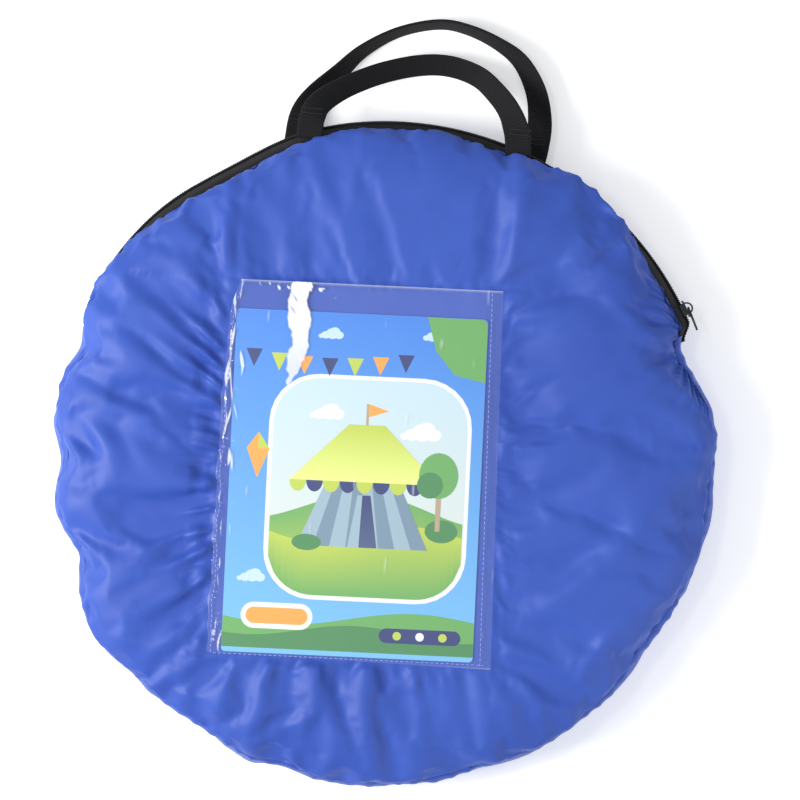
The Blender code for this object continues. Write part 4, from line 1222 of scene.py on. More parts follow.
def smooth_route(places, count):
    """A Catmull-Rom curve through the places, sampled in even steps of length."""
    padded = np.concatenate([places[:1], places, places[-1:]])
    t = np.linspace(0, 1, ROUTE_STEPS, endpoint=False)[None, :, None]
    a, b, c, d = (padded[k:len(padded) - 3 + k][:, None, :] for k in range(4))
    curve = 2 * b + (c - a) * t + (2 * a - 5 * b + 4 * c - d) * t ** 2 + (3 * b - a - 3 * c + d) * t ** 3
    dense = np.concatenate([0.5 * curve.reshape(-1, places.shape[1]), places[-1:]])
    gone = path_lengths(dense[:, :3])
    return along_path(np.linspace(0, gone[-1], count), gone, dense), gone[-1]


def band_section(width, thickness):
    """A flat band's section: an outline of 28 points, broad first and thin second, with thick woven edges."""
    broad = np.linspace(-1, 1, 12)
    crown = 1 + 0.05 * np.abs(broad) ** 6
    top = np.stack([broad * (width / 2 - 0.4 * MM), crown * thickness / 2], -1)
    foot = top[::-1] * (1, -1)
    end = np.array([(width / 2, 0.25 * thickness), (width / 2, -0.25 * thickness)])
    return np.concatenate([top, end, foot, end[::-1] * (-1, 1)])


def handle_root(shares, half_span):
    """How far out a handle starts: where the inner edge of its band meets the seam."""
    inner = min(abs(shares[0][0]), abs(shares[-1][0])) * half_span - WEBBING_WIDTH / 2
    return math.sqrt((SEAM_RADIUS + HANDLE_ROOT_GAP) ** 2 - inner ** 2)


def webbing_shape(shares, half_span, reach, root_height, top_height):
    """Sections of the band along its route, then lengths across and along, and the route's length."""
    table = np.array(shares)
    places = np.stack([
        table[:, 0] * half_span,
        handle_root(shares, half_span) + table[:, 1] * reach,
        root_height + table[:, 2] * (top_height - root_height),
        table[:, 3] * math.pi / 2,
    ], -1)
    route, length = smooth_route(places, HANDLE_STATIONS)
    route = np.concatenate([route[:1] - (0, HANDLE_TUCK, 0, 0), route, route[-1:] - (0, HANDLE_TUCK, 0, 0)])
    along = unit(np.gradient(route[:, :3], axis=0))
    along[:2] = (0, 1, 0)
    along[-2:] = (0, -1, 0)
    side = unit(np.cross(along, (0, 0, 1.0)))
    lift = np.cross(side, along)
    turn = route[:, 3:4]
    broad = side * np.cos(turn) - lift * np.sin(turn)
    thin = np.cross(broad, along)
    section = band_section(WEBBING_WIDTH, WEBBING_THICKNESS)
    points = route[:, None, :3] + broad[:, None] * section[:, :1] + thin[:, None] * section[:, 1:]
    gone = np.concatenate([[-HANDLE_TUCK], np.linspace(0, length, HANDLE_STATIONS), [length + HANDLE_TUCK]])
    down, over = np.meshgrid(gone, section[:, 0], indexing="ij")
    return from_mouth(points), np.stack([over, down], -1), length


def webbing_finish():
    """Black woven band: ribs along the length, a chevron across them, and a dull silky gloss."""
    look = Finish("black_webbing_weave", Roughness=0.75, Specular_IOR_Level=0.2)
    split = look.node("ShaderNodeSeparateXYZ")
    look.link(look.place(uv=True), split.inputs[0])
    across, along = split.outputs["X"], split.outputs["Y"]
    zigzag = math_node(look.tree, "PINGPONG", across, RIB_WIDTH)
    pick = look.wave(math_node(look.tree, "MULTIPLY_ADD", zigzag, 0.8, along), PICK_LENGTH)
    pick = math_node(look.tree, "MULTIPLY", pick, 0.4)
    height = math_node(look.tree, "MULTIPLY_ADD", look.wave(across, RIB_WIDTH), 0.12, pick)
    # The colour follows the weave's height: a painted highlight on the raised threads and painted shade
    # between them.
    shade = math_node(look.tree, "MULTIPLY_ADD", height, 0.8, 0.5)
    look.link(look.ramp(shade, ((0.1, (0.002, 0.002, 0.003)), (0.9, (0.012, 0.012, 0.014)))), "Base Color")
    look.bump(height, 0.25 * MM, 0.7)
    return look.material


WEBBING = webbing_finish()


def add_handle(name, node, route):
    """A handle's band, with its finish, fixed in the world in place of the handle's solid."""
    points, uv, length = webbing_shape(*route)
    band = swept(name, points, uv)
    smooth = np.ones(len(band.data.polygons), bool)
    smooth[-2:] = False
    band.data.polygons.foreach_set("use_smooth", smooth)
    bend_at(band, WEBBING, (node,))
    print(name, "is", round(length / MM), "mm long from seam to seam")
    return band, length


front_band, front_band_length = add_handle("front_handle_webbing", "front_handle", FRONT_ROUTE)
rear_band, rear_band_length = add_handle("rear_handle_webbing", "rear_handle", REAR_ROUTE)

# %% [markdown]
# Each handle is sewn to the seam with a bar of close zigzag stitches. Its root
# shows below the bar, so both the bar and a second row of stitches are made.

# %% Bar tacks on the handles' roots
ROOT_ROWS = (12 * MM, 15 * MM)
ROOT_HALF = 6.6 * MM
ROOT_POINTS = 12
# A stitch in the webbing: pitch, length, width and height
ROOT_STITCH = (1.2 * MM, 1.0 * MM, 0.7 * MM, 0.35 * MM)


def root_stitches(name, body, route, rise):
    """Two rows of beads across both ends of a handle, laid on the band's upper face."""
    shares, half_span, _, root_height, _ = route
    rows = []
    for end in (0, -1):
        middle = shares[end][0] * half_span
        for out in ROOT_ROWS:
            line = np.full((ROOT_POINTS, 3), root_height + rise)
            line[:, 0] = np.linspace(middle - ROOT_HALF, middle + ROOT_HALF, ROOT_POINTS)
            line[:, 1] = handle_root(shares, half_span) + out
            rows.append(beads(name + "_row", from_mouth(line), *ROOT_STITCH))
    return merge_pieces(name, rows, body, BLACK_THREAD)


for name, route, rise in (("front_handle", FRONT_ROUTE, 0.85 * MM), ("rear_handle", REAR_ROUTE, 0.9 * MM)):
    stitches = root_stitches(name + "_stitches", name, route, rise)
    print(stitches.name, "has", triangles(stitches), "triangles")

# %% [markdown]
# The zip has two woven tapes and two nylon coils. Each tape runs from its seam
# out and down to the middle of the side, where it stands upright behind its
# coil. The coil is one round filament wound in a flattened spiral, so its
# surface is a tube round a helix that itself follows the arc of the bag.

# %% Zip tapes
TAPE_THICKNESS = 0.5 * MM
TAPE_EDGE_OFFSET = 0.95 * MM
TAPE_STEP = 1.6 * MM
ZIP_RIM = SEAM_RADIUS + 4.1 * MM
ZIP_LENGTH = (ZIP_LEFT_END - ZIP_RIGHT_END) * ZIP_RIM
COIL_RADIUS = 1.15 * MM
COIL_OFFSET = 2.2 * MM
COIL_PITCH = 1.3 * MM
COIL_WIRE = 0.34 * MM
TURN_POINTS = 10
COIL_PATH = ZIP_RIM + TAPE_THICKNESS + 0.15 * MM + COIL_RADIUS
# Each cord with a coil: how far inward of the coil's middle, and its radius
CORDS = {"_filler": (0.0, 0.62 * MM), "_sewing": (COIL_RADIUS - 0.1 * MM, 0.3 * MM)}
WIRE_SIDES = 5
COIL_PLAY = 0.4 * MM


def tape_finish():
    """Herringbone tape: fine slanted ribs that change side every few threads."""
    look = Finish("zip_tape_weave", Roughness=0.75, Specular_IOR_Level=0.25)
    split = look.node("ShaderNodeSeparateXYZ")
    look.link(look.place(uv=True), split.inputs[0])
    zigzag = math_node(look.tree, "PINGPONG", split.outputs["Y"], 1.1 * MM)
    rib = look.wave(math_node(look.tree, "ADD", zigzag, split.outputs["X"]), 0.7 * MM)
    # The colour follows the ribs: a painted highlight on their crests and painted shade between them, from
    # the same mask as the bump.
    shade = math_node(look.tree, "MULTIPLY_ADD", rib, 0.5, 0.5)
    look.link(look.ramp(shade, ((0.0, (0.005, 0.005, 0.006)), (1.0, (0.013, 0.013, 0.015)))), "Base Color")
    look.bump(shade, 0.12 * MM, 0.6)
    return look.material


TAPE = tape_finish()


# A tape's bend from its coil edge to its seam: how far out of the rim and up from the middle, in millimetres
TAPE_AT_RIM = ((0, TAPE_EDGE_OFFSET / MM), (0, 3.2), (-0.1, 4.9), (-0.9, 6.4))
# Then how far out of the seam's circle, and how far short of the seam's height
TAPE_AT_SEAM = ((1.6, 2.2), (0.1, 0.5), (-3.0, 0.4))


def tape_object(name, side):
    """A tape's section of two faces, swept round its arc. side is 1 for the front tape, -1 for the rear."""
    seam = FRONT_SEAM_HEIGHT if side > 0 else BACK_SEAM_HEIGHT
    bend = [(ZIP_RIM + out * MM, RIM_HEIGHT + side * up * MM) for out, up in TAPE_AT_RIM]
    bend += [(SEAM_RADIUS + out * MM, seam - side * short * MM) for out, short in TAPE_AT_SEAM]
    line = np.array(bend)
    section = np.concatenate([line + (TAPE_THICKNESS, 0), line[::-1]])
    angle = np.linspace(ZIP_RIGHT_END, ZIP_LEFT_END, int(ZIP_LENGTH / TAPE_STEP))
    wave = soft_noise(angle * ZIP_RIM, angle * 0, 30 * MM, 41 + side) * 0.35 * MM
    weight = kept(np.abs(section[:, 1] - RIM_HEIGHT) / (8 * MM))
    radius = section[:, 0][None] + zip_radius_shift(angle)[:, None] + wave[:, None] * weight[None]
    points = polar(radius, angle[:, None], section[:, 1])
    along, across = np.meshgrid(angle * ZIP_RIM, path_lengths(section), indexing="ij")
    return swept(name, points, np.stack([along, across], -1), flip=side > 0)


def front_nodes(start):
    """The three solids that a front tape or coil is cut into."""
    return [start + place for place in ("right", "flap", "left")]


bend_at_fold(tape_object("front_tape", 1), TAPE, front_nodes("front_zip_tape_"))
finish_piece(tape_object("rear_tape", -1), "bag", TAPE, ("rear_zip_tape",))
print("zip tapes:", round(ZIP_LENGTH / MM), "mm long")

# %% [markdown]
# A coil is wound round a filler cord and sewn to its tape. Its centre follows
# the zip's arc, and the filament circles that centre once for each pitch.

# %% Zip coils
def coil_pieces(name, side):
    """The coil, and the two cords with it: radius and height turn on a small circle once for each pitch."""
    play = COIL_PLAY / COIL_PATH
    first, last = ZIP_RIGHT_END + play, ZIP_LEFT_END - play
    turns = int((last - first) * COIL_PATH / COIL_PITCH)
    count = turns * TURN_POINTS
    angle = np.linspace(first, last, count)
    turn = FULL_TURN * turns * np.linspace(0, 1, count)
    wind = COIL_RADIUS - COIL_WIRE
    middle = RIM_HEIGHT + side * COIL_OFFSET
    radius = COIL_PATH + zip_radius_shift(angle) + wind * np.cos(turn)
    path = polar(radius, angle, middle + wind * np.sin(turn))
    out = polar(1.0, angle, 0.0)
    wire = tube_points(path, np.full(count, COIL_WIRE), WIRE_SIDES, np.cross(out, np.gradient(path, axis=0)))
    bend = np.linspace(first, last, turns)
    cords = []
    for part, (inward, thick) in CORDS.items():
        route = polar(COIL_PATH - inward + zip_radius_shift(bend), bend, middle)
        cords.append(tube(name + part, route, thick, 6))
    return swept(name, wire, flip=True), cords


front_coil, front_cords = coil_pieces("front_coil", 1)
bend_at_fold(front_coil, COIL, front_nodes("front_zip_coil_"))
for cord in front_cords:
    bend_at_fold(cord, BLACK_THREAD)
rear_coil, rear_cords = coil_pieces("rear_coil", -1)
finish_piece(rear_coil, "bag", COIL, ("rear_zip_coil",))
for cord in rear_cords:
    finish_piece(cord, "bag", BLACK_THREAD)
print("front coil:", triangles(front_coil), "triangles")

# %% [markdown]
# The slider and its tab are small die castings, painted black. Their solids have
# the right form already, so a copy gets its corners rounded and a paint finish.

# %% Slider and pull tab
MERGE_DISTANCE = 0.005 * MM
SHARP = math.radians(40)


def rounded_copy(node, name, body, radius, material=PAINT):
    """A copy of a solid with its doubles merged, its normals turned out and its corners rounded."""
    shape = bmesh.new()
    shape.from_mesh(nodes[node].data)
    bmesh.ops.remove_doubles(shape, verts=shape.verts, dist=MERGE_DISTANCE)
    bmesh.ops.recalc_face_normals(shape, faces=shape.faces)
    bmesh.ops.dissolve_limit(shape, angle_limit=math.radians(1), verts=shape.verts, edges=shape.edges)
    copy = object_from(shape, name)
    bevel = copy.modifiers.new("round", "BEVEL")
    bevel.width = radius
    bevel.segments = 2
    bevel.limit_method = "ANGLE"
    bevel.angle_limit = SHARP
    bevel.use_clamp_overlap = True
    copy.data.shade_flat()
    return finish_piece(copy, body, material, (node,))


rounded_copy("zip_slider", "slider_body", "slider", 0.16 * MM)
rounded_copy("pull_tab", "slider_tab", "pull_tab", 0.22 * MM)

# %% [markdown]
# The pocket is a sheet of clear vinyl sewn down on three sides. It lies over the
# card, so it stands a millimetre off it in soft waves, and its sewn edges draw
# it down to the cloth. The mouth at the top is open and curls up slightly.

# %% The pocket's film
# The broad glare: height up the pocket, place across it and half its width, in millimetres
GLARE = np.array((
    (52, -45.6, 0.0), (55, -44.5, 1.9), (60, -42.5, 3.6), (68, -40.5, 4.4), (78, -38.5, 5.6),
    (90, -39.2, 6.6), (103, -41.2, 6.6), (111, -41, 6.0), (115, -38.5, 6.5), (117.5, -39, 0.0),
)) * MM
# The painted reflection streaks at the left edge: how far in, how far they wander and how wide, in
# millimetres, and how sparse
REFLECTION_STREAKS = ((4.6, 1.0, 0.75, 0.5), (6.6, 1.2, 0.6, 0.5), (11.0, 1.6, 0.5, 0.85))
REFLECTION_STREAK_EDGE = 0.3 * MM
FILM_ROWS = 320
FILM_COLUMNS = 290
FILM_CROWDING = 1.35          # the columns crowd towards the left edge
FILM_GAP = 0.35 * MM
# The width, in millimetres, and the seed of the cloth's gathers beside the pocket
GATHER_WIDTH, GATHER_SEED = MARKS["gathers"][1:3]
# How far the film's edges are drawn in: all of the left edge, its upper part, its top corner, the right edge
LEFT_IN, UPPER_IN, CORNER_IN, RIGHT_IN = 1.0 * MM, 2.6 * MM, 5.5 * MM, 1.5 * MM
SEWN_EDGE = 3 * MM
CARD_RISE = 0.35 * MM
CARD_RISE_EDGE = 7 * MM
CARD_TOP = CARD_HIGH.z
STITCH_RIGHT = 8.0 * MM
STITCH_LEFT = 2.4 * MM
STITCH_FOOT = 3.0 * MM
FILM_WAVES = 0.8 * MM
FILM_CREASE = 0.7 * MM
MOUTH_CURL = 0.8 * MM


def film_shape(rows, columns):
    """A trapezoid of film, drawn in at its left by the gathers, and as high as the card plus soft waves."""
    across = 2 * np.linspace(0, 1, columns) ** FILM_CROWDING - 1
    t, s = np.meshgrid(np.linspace(0, 1, rows), across, indexing="ij")
    v = (t - 0.5) * POCKET_HEIGHT
    half = pocket_half_width(v)
    drawn = (ridges(v, GATHER_WIDTH * MM, GATHER_SEED) * 0.4 + ridges(v, 46 * MM, 12) * 0.7 - 0.4) * MM
    gathered_in = LEFT_IN + UPPER_IN * kept((t - 0.45) / 0.55) ** 2
    gathered_in = gathered_in + CORNER_IN * kept((t - 0.86) / 0.14) ** 1.6
    u = s * half + (gathered_in - drawn) * kept(-s) ** 6 - kept(s) ** 6 * RIGHT_IN
    v = v + kept((0.06 - t) / 0.06) * (2.0 - 1.5 * s) * MM
    from_side, from_foot = half - np.abs(u), v + POCKET_HEIGHT / 2
    over_card = smooth_step(kept(from_side / CARD_RISE_EDGE) * kept(from_foot / CARD_RISE_EDGE))
    wave = soft_noise(u, v, 60 * MM, 51) * 0.35 + soft_noise(u, v * 0.6, 20 * MM, 52) * 0.12
    near_left = kept((-u - half + 26 * MM) / (20 * MM)) ** 2
    crease = ridges(v + 0.2 * u, GATHER_WIDTH * MM, GATHER_SEED) * near_left * 0.9
    height = CARD_TOP + FILM_GAP + over_card * CARD_RISE + (wave + 0.3) * FILM_WAVES * over_card
    height = np.maximum(height + crease * FILM_CREASE, CARD_TOP + 0.15 * MM)
    curl = 0.6 + 0.4 * soft_noise(u, v * 0, 50 * MM, 53)
    height = height + kept((t - 0.9) / 0.1) ** 2 * MOUTH_CURL * curl
    sewn = kept(1 - np.minimum(from_side, from_foot) / SEWN_EDGE)
    height = height - sewn * (CARD_TOP - BAG_HEIGHT - 0.25 * MM)
    return from_pocket(u, v, height), np.stack([u, v], -1)


def film_glare(u, v):
    """Painted white reflections where the vinyl is bent: one broad tapering band at the top left, and short
    ones.
    """
    middle, half = along_path(v.ravel(), GLARE[:, 0], GLARE[:, 1:]).T.reshape(2, *v.shape)
    ragged = soft_noise(u * 0.4, v * 0.8, 8 * MM, 83, 2) * 0.8 * MM + soft_noise(u, v, 20 * MM, 85) * 1.3 * MM
    inside = half - np.abs(u - middle) + ragged * kept(half / (3 * MM))
    broad = smooth_step(inside, -0.2 * MM, 0.7 * MM) * (half > 0)
    near_top = bell((v - 113 * MM) / (5 * MM)) * bell((u + 40 * MM) / (24 * MM))
    glare_spots = soft_noise(u + v * 0.7, v - u * 0.2, 6 * MM, 86) + near_top * 0.9
    glare_spots = smooth_step(glare_spots, 1.15, 1.4) * near_top
    thin = smooth_step(soft_noise(u + v * 0.6, v * 0.5, 6 * MM, 87), 0.7, 1.2)
    thin = thin * smooth_step(v, 88 * MM, 106 * MM)
    broad = broad * (1 - 0.75 * thin) * (0.82 + 0.18 * smooth_step(v, 60 * MM, 90 * MM))
    return np.maximum(broad, kept(glare_spots * 1.4))


def film_reflection_streaks(u, v):
    """Painted long thin reflections at the left edge, whose place and width drift, and white patches at its
    foot.
    """
    half = pocket_half_width(v)
    reflection_streaks = np.zeros_like(u)
    upper = smooth_step(v, -70 * MM, 40 * MM)
    for k, (away, wander, thick, sparse) in enumerate(REFLECTION_STREAKS):
        place = -half + (away + wander * soft_noise(v, v * 0, 34 * MM, 91 + k, 1)) * MM
        width = thick * (soft_noise(v, v * 0, 25 * MM, 95 + k, 2) * 1.2 - sparse + upper * 0.9) * MM
        reflection_streak = smooth_step(width - np.abs(u - place), -REFLECTION_STREAK_EDGE, REFLECTION_STREAK_EDGE) * (width > 0)
        reflection_streaks = np.maximum(reflection_streaks, reflection_streak)
    corner = bell((v + POCKET_HEIGHT / 2 - 15 * MM) / (9 * MM)) * bell((u + half - 6 * MM) / (4 * MM))
    patches = smooth_step(soft_noise(u, v, 5 * MM, 99, 3) + corner * 0.9, 0.9, 1.3) * corner
    return kept(reflection_streaks * 0.85 + patches * 0.7)


def film_glare_and_scuffs(u, v):
    """How white the vinyl shows: its painted glare, its painted reflection streaks, a painted highlight where
    its cut edge catches the light, and scuffs.
    """
    scuffs = smooth_step(soft_noise(u * 2.4, v * 0.5, 22 * MM, 84), 1.3, 1.9) * 0.35
    from_side, from_end = pocket_half_width(v) - np.abs(u), POCKET_HEIGHT / 2 - np.abs(v)
    rim = bell(from_side / (0.9 * MM)) + bell(from_end / (0.9 * MM))
    return kept(film_glare(u, v) * 0.95 + film_reflection_streaks(u, v) * 0.85 + scuffs + rim * 0.35)


def film_finish():
    """Clear vinyl with a wet gloss. It is see-through except where the stored mask of painted glare, painted
    reflections and scuffs makes it white.
    """
    look = Finish("clear_vinyl", (0.90, 0.93, 0.98), Roughness=0.07, IOR=2.0)
    glare_and_scuffs = look.node("ShaderNodeAttribute", attribute_name="glare_and_scuffs")
    look.link(look.level(glare_and_scuffs.outputs["Fac"], 0.05, 0.88), "Alpha")
    return look.material


film_points, film_uv = film_shape(FILM_ROWS, FILM_COLUMNS)
film = mesh_object("pocket_film", film_points, grid_faces(FILM_ROWS, FILM_COLUMNS)[:, ::-1], film_uv)
glare_and_scuffs_layer = film.data.attributes.new("glare_and_scuffs", "FLOAT", "POINT")
glare_and_scuffs_layer.data.foreach_set("value", film_glare_and_scuffs(film_uv[..., 0], film_uv[..., 1]).ravel())
finish_piece(film, "bag", film_finish(), ("card_pocket",))
print("film:", triangles(film), "triangles")

# %% [markdown]
# Three lines of stitches hold the pocket: down its right side, well in from the
# edge, down its left side and along its foot. They follow the film's face.

# %% The pocket's stitches
# A stitch in the film: pitch, length, width and height
FILM_STITCH = (3.1 * MM, 2.3 * MM, 0.55 * MM, 0.32 * MM)
STITCH_LIFT = 0.12 * MM


def film_height(u, v):
    """Height of the film's face at places in the pocket's frame, from the nearest grid point."""
    across, up = film_uv.reshape(-1, 2).T
    away = (across[None] - u[:, None]) ** 2 + (up[None] - v[:, None]) ** 2
    return film_points[..., 2].ravel()[np.argmin(away, axis=1)]


line_v = np.linspace(POCKET_HEIGHT / 2 - 1 * MM, -POCKET_HEIGHT / 2 + STITCH_FOOT, 120)
line_u = np.linspace(-1, 1, 100)
right_u = pocket_half_width(line_v) - STITCH_RIGHT
left_u = np.interp(line_v, film_uv[:, 0, 1], film_uv[:, 0, 0]) + STITCH_LEFT
foot_v = np.full(100, -POCKET_HEIGHT / 2 + STITCH_FOOT)
foot_u = line_u * (POCKET_BOTTOM / 2 - 5 * MM)
rows = []
for u, v in ((right_u, line_v), (left_u, line_v), (foot_u, foot_v)):
    rows.append(beads("row", from_pocket(u, v, film_height(u, v) + STITCH_LIFT), *FILM_STITCH))
stitches = merge_pieces("pocket_stitches", rows, "bag", PALE_THREAD)
print(stitches.name, "has", triangles(stitches), "triangles")

# %% [markdown]
# The card is printed. Its design is drawn as flat ink shapes, each with its own
# colour stored at its points, stacked a few hundredths of a millimetre apart on
# the card. Shapes stay crisp at any distance and need few faces: a rounded
# corner is an arc, a hill is a sine, and a cloud is a few overlapping discs.

# %% The card and its print
CARD_CORNER = 2.5 * MM
INK_STEP = 0.012 * MM
SKY = (0.030, 0.195, 0.68)
SKY_LIGHT = (0.16, 0.46, 0.76)
PALE = (0.50, 0.66, 0.74)
CREAM = (0.66, 0.68, 0.60)
WHITE = (0.76, 0.77, 0.78)
LIME = (0.46, 0.56, 0.06)
GREEN = (0.12, 0.36, 0.09)
GREEN_DEEP = (0.05, 0.22, 0.07)
NAVY = (0.012, 0.028, 0.15)
STONE = (0.16, 0.25, 0.34)
STONE_LIGHT = (0.30, 0.42, 0.50)
ORANGE = (0.86, 0.34, 0.05)
WOOD = (0.42, 0.32, 0.20)

LIME_LIGHT = (0.72, 0.80, 0.22)
NAVY_LIGHT = (0.05, 0.09, 0.20)

# A cloud's ellipses: place and radius, as shares of its size
PUFFS = ((0, 0, 0.5), (-0.5, -0.12, 0.34), (0.52, -0.1, 0.36), (0.2, 0.16, 0.4), (-0.85, -0.2, 0.2))
card_shapes = []


def ink(outline, colour, far=None):
    """A flat shape in mm on the card, one level above those under it. far is its lower edge's colour."""
    outline = np.asarray(outline, float) * MM
    share = kept((outline[:, 1].max() - outline[:, 1]) / max(np.ptp(outline[:, 1]), 1e-9))[:, None]
    colours = np.array(colour) * (1 - share) + np.array(far or colour) * share
    low, high = outline.min(axis=0) + 0.01 * MM, outline.max(axis=0) - 0.01 * MM
    under = [shape[2] for shape in card_shapes if (shape[3] < high).all() and (shape[4] > low).all()]
    card_shapes.append((outline, colours, max(under, default=-1) + 1, low, high))


def rounded(cx, cy, w, h, r, steps=8):
    """Outline of a rectangle whose corners are quarter circles, counter-clockwise."""
    corner = np.linspace(0, math.pi / 2, steps)
    parts = []
    for k, (sx, sy) in enumerate(((1, 1), (-1, 1), (-1, -1), (1, -1))):
        turn = corner + k * math.pi / 2
        x, y = cx + sx * (w / 2 - r), cy + sy * (h / 2 - r)
        parts.append(np.stack([x + r * np.cos(turn), y + r * np.sin(turn)], -1))
    return np.concatenate(parts)


def disc(cx, cy, rx, ry=None, steps=28):
    """Outline of a circle or an ellipse."""
    turn = FULL_TURN * np.arange(steps) / steps
    return np.stack([cx + rx * np.cos(turn), cy + (ry or rx) * np.sin(turn)], -1)


def band(left, right, low, high, colour, far=None, steps=24):
    """A strip between two curves, made of upright slices so that it may be hollow below."""
    u = np.linspace(left, right, steps)
    for a, b in zip(u, u[1:]):
        ink([(a, low(a)), (b, low(b)), (b, high(b)), (a, high(a))], colour, far)


def cloud(cx, cy, size, colour=WHITE):
    """A cloud of five overlapping ellipses."""
    for du, dv, r in PUFFS:
        ink(disc(cx + du * size, cy + dv * size, r * size, r * size * 0.82), colour)


half_u, half_v = CARD_SIZE[0] / 2 / MM, CARD_SIZE[1] / 2 / MM
ink(rounded(0, 0, 2 * half_u, 2 * half_v, CARD_CORNER / MM), SKY, SKY_LIGHT)
hill_edge = half_u - 0.1
band(-hill_edge, hill_edge, lambda u: -half_v + 3, lambda u: -82 + 5 * math.sin(u / 26), GREEN)
band(-hill_edge, hill_edge, lambda u: -half_v + 3, lambda u: -90 + 4 * math.sin(u / 21 + 1.4), GREEN_DEEP)
cloud(-18, 92, 8, PALE)
cloud(48, 94, 10, PALE)
cloud(-60, -58, 9, PALE)

# The picture: a tall window with a white edge, low and left of the middle
ink(rounded(8, -2, 124, 138, 30), WHITE)
ink(rounded(8, -2, 119, 133, 28), PALE, CREAM)
cloud(-18, 44, 11)
cloud(40, 34, 13)


def edge_of_window(u):
    """Lower edge of the rounded window at a place across it."""
    corner = 28
    bend = max(min(abs(u - 8), 59.4) - (59.5 - corner), 0)
    return -68.5 + corner - math.sqrt(corner ** 2 - bend ** 2) + 0.2


band(-51, 67, edge_of_window, lambda u: -14 + 9 * math.sin((u + 30) / 24), GREEN, LIME, 30)
band(-51, 67, edge_of_window, lambda u: -30 + 6 * math.sin((u - 8) / 19), LIME, GREEN, 30)

# A plain ridge tent with an awning, broad stripes and a dark doorway
apex, foot = 33, -38
for k in range(8):
    a, b = -34 + k * 10, -24 + k * 10
    top_a, top_b = 4 + (a - 6) * 0.22, 4 + (b - 6) * 0.22
    ink([(a, foot), (b, foot), (top_b, apex), (top_a, apex)], STONE if k % 2 else STONE_LIGHT)
ink([(-40, 2), (52, 2), (17, 37), (-5, 37)], LIME, LIME_LIGHT)
for k in range(9):
    u = -40 + 92 / 9 * (k + 0.5)
    scallop_edge = disc(u, 2, 5.1, 7, 24)[12:24]
    ink([(u + 5.1, 2), (u - 5.1, 2), *scallop_edge], NAVY if k % 2 else LIME)
ink([(-3, foot), (15, foot), (10, -6), (2, -6)], NAVY, NAVY_LIGHT)
ink([(-3, foot), (4, foot), (5, -6), (2, -6)], STONE_LIGHT)
ink([(5.2, 37), (6.8, 37), (6.8, 50), (5.2, 50)], WOOD)
ink([(6.8, 50), (19, 46), (6.8, 42)], ORANGE)
ink(disc(-28, -36, 9, 5), GREEN_DEEP)
ink(disc(54, -26, 10, 7), GREEN_DEEP)
ink([(50, -26), (53, -26), (53, 0), (50, 0)], WOOD)
ink(disc(51, 8, 12, 14), GREEN)
ink(disc(46, 2, 8, 8), GREEN_DEEP)

# A kite, bunting, a corner patch and two plain labels
ink([(-60, 30), (-53, 20), (-60, 2), (-67, 20)], ORANGE)
ink([(-60, 30), (-53, 20), (-60, 20)], LIME)
for k in range(7):
    u = -70 + k * 15.5
    v = 74 - 5 * math.sin(math.pi * (k + 0.5) / 7)
    ink([(u, v + 8), (u + 5, v - 3), (u + 10, v + 8)], (NAVY, LIME, ORANGE)[k % 3])
right, top = half_u - 0.2, half_v - 0.3
ink([(right, 66), (right, half_v - 3), (half_u - 2.6, top), (40, top), (46, 84), (58, 70)], GREEN)
ink(rounded(-44, -82, 44, 16, 8), WHITE)
ink(rounded(-44, -82, 38, 10, 5), ORANGE)
ink(rounded(44, -91, 50, 9, 4.5), NAVY)
for k in range(3):
    ink(disc(30 + k * 14, -91, 2.6), (LIME, WHITE, LIME)[k])


def card_finish():
    """Glossy printed card: the colour comes from the points."""
    look = Finish("card_print_ink", Roughness=0.35, Coat_Weight=0.3, Coat_Roughness=0.2)
    colour = look.node("ShaderNodeAttribute", attribute_name="ink")
    look.link(colour.outputs["Color"], "Base Color")
    return look.material


def card_object():
    """The card's slab, a rounded outline between two heights, and its ink shapes as one mesh each."""
    outline = rounded(0, 0, 2 * half_u, 2 * half_v, CARD_CORNER / MM) * MM
    x, y = turned(outline[:, 0], outline[:, 1], POCKET_TURN)
    place = np.stack([x, y], -1) + CARD_MIDDLE
    rings = [np.insert(place, 2, height, axis=1) for height in (CARD_LOW.z, CARD_TOP)]
    body = swept("card_stock", np.stack(rings), smooth=False)
    points, colours, faces, first = [], [], [], 0
    for shape, colour, level, _, _ in card_shapes:
        x, y = turned(shape[:, 0], shape[:, 1], POCKET_TURN)
        place = np.stack([x, y], -1) + CARD_MIDDLE
        points.append(np.insert(place, 2, CARD_TOP + (level + 1) * INK_STEP, axis=1))
        colours.append(colour)
        faces.append(first + np.arange(len(shape))[None])
        first += len(shape)
    picture = mesh_object("card_print", np.concatenate(points), faces, smooth=False)
    layer = picture.data.attributes.new("ink", "FLOAT_COLOR", "POINT")
    layer.data.foreach_set("color", np.insert(np.concatenate(colours), 3, 1.0, axis=1).ravel())
    return body, picture


card_body, card_picture = card_object()
finish_piece(card_body, "insert_card", CARD_STOCK, ("insert_card",))
finish_piece(card_picture, "insert_card", card_finish())
print("card print:", len(card_shapes), "shapes on", 1 + max(shape[2] for shape in card_shapes), "levels")

# %% [markdown]
# Inside lie two stacks of folded cloth: the walls below the poles and the roof
# above them. A folded stack is a closed form whose edge shows its layers. Its
# section runs down the axis, out along the top, in and out once for each fold,
# and back along the foot, and a slow noise keeps the turned form from looking
# machined.

# %% Folded cloth
STACK_SPOKES = 200
HOOP_LOW, HOOP_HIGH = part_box("base_hoop")
EAVES_LOW, EAVES_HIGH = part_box("eaves_hoop")
STACK_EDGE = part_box("folded_roof")[1].x - 2 * MM
STACK_GAP = 0.8 * MM
WALL_FOOT = 6.5 * MM
ROOF_ROOM = 5.2 * MM


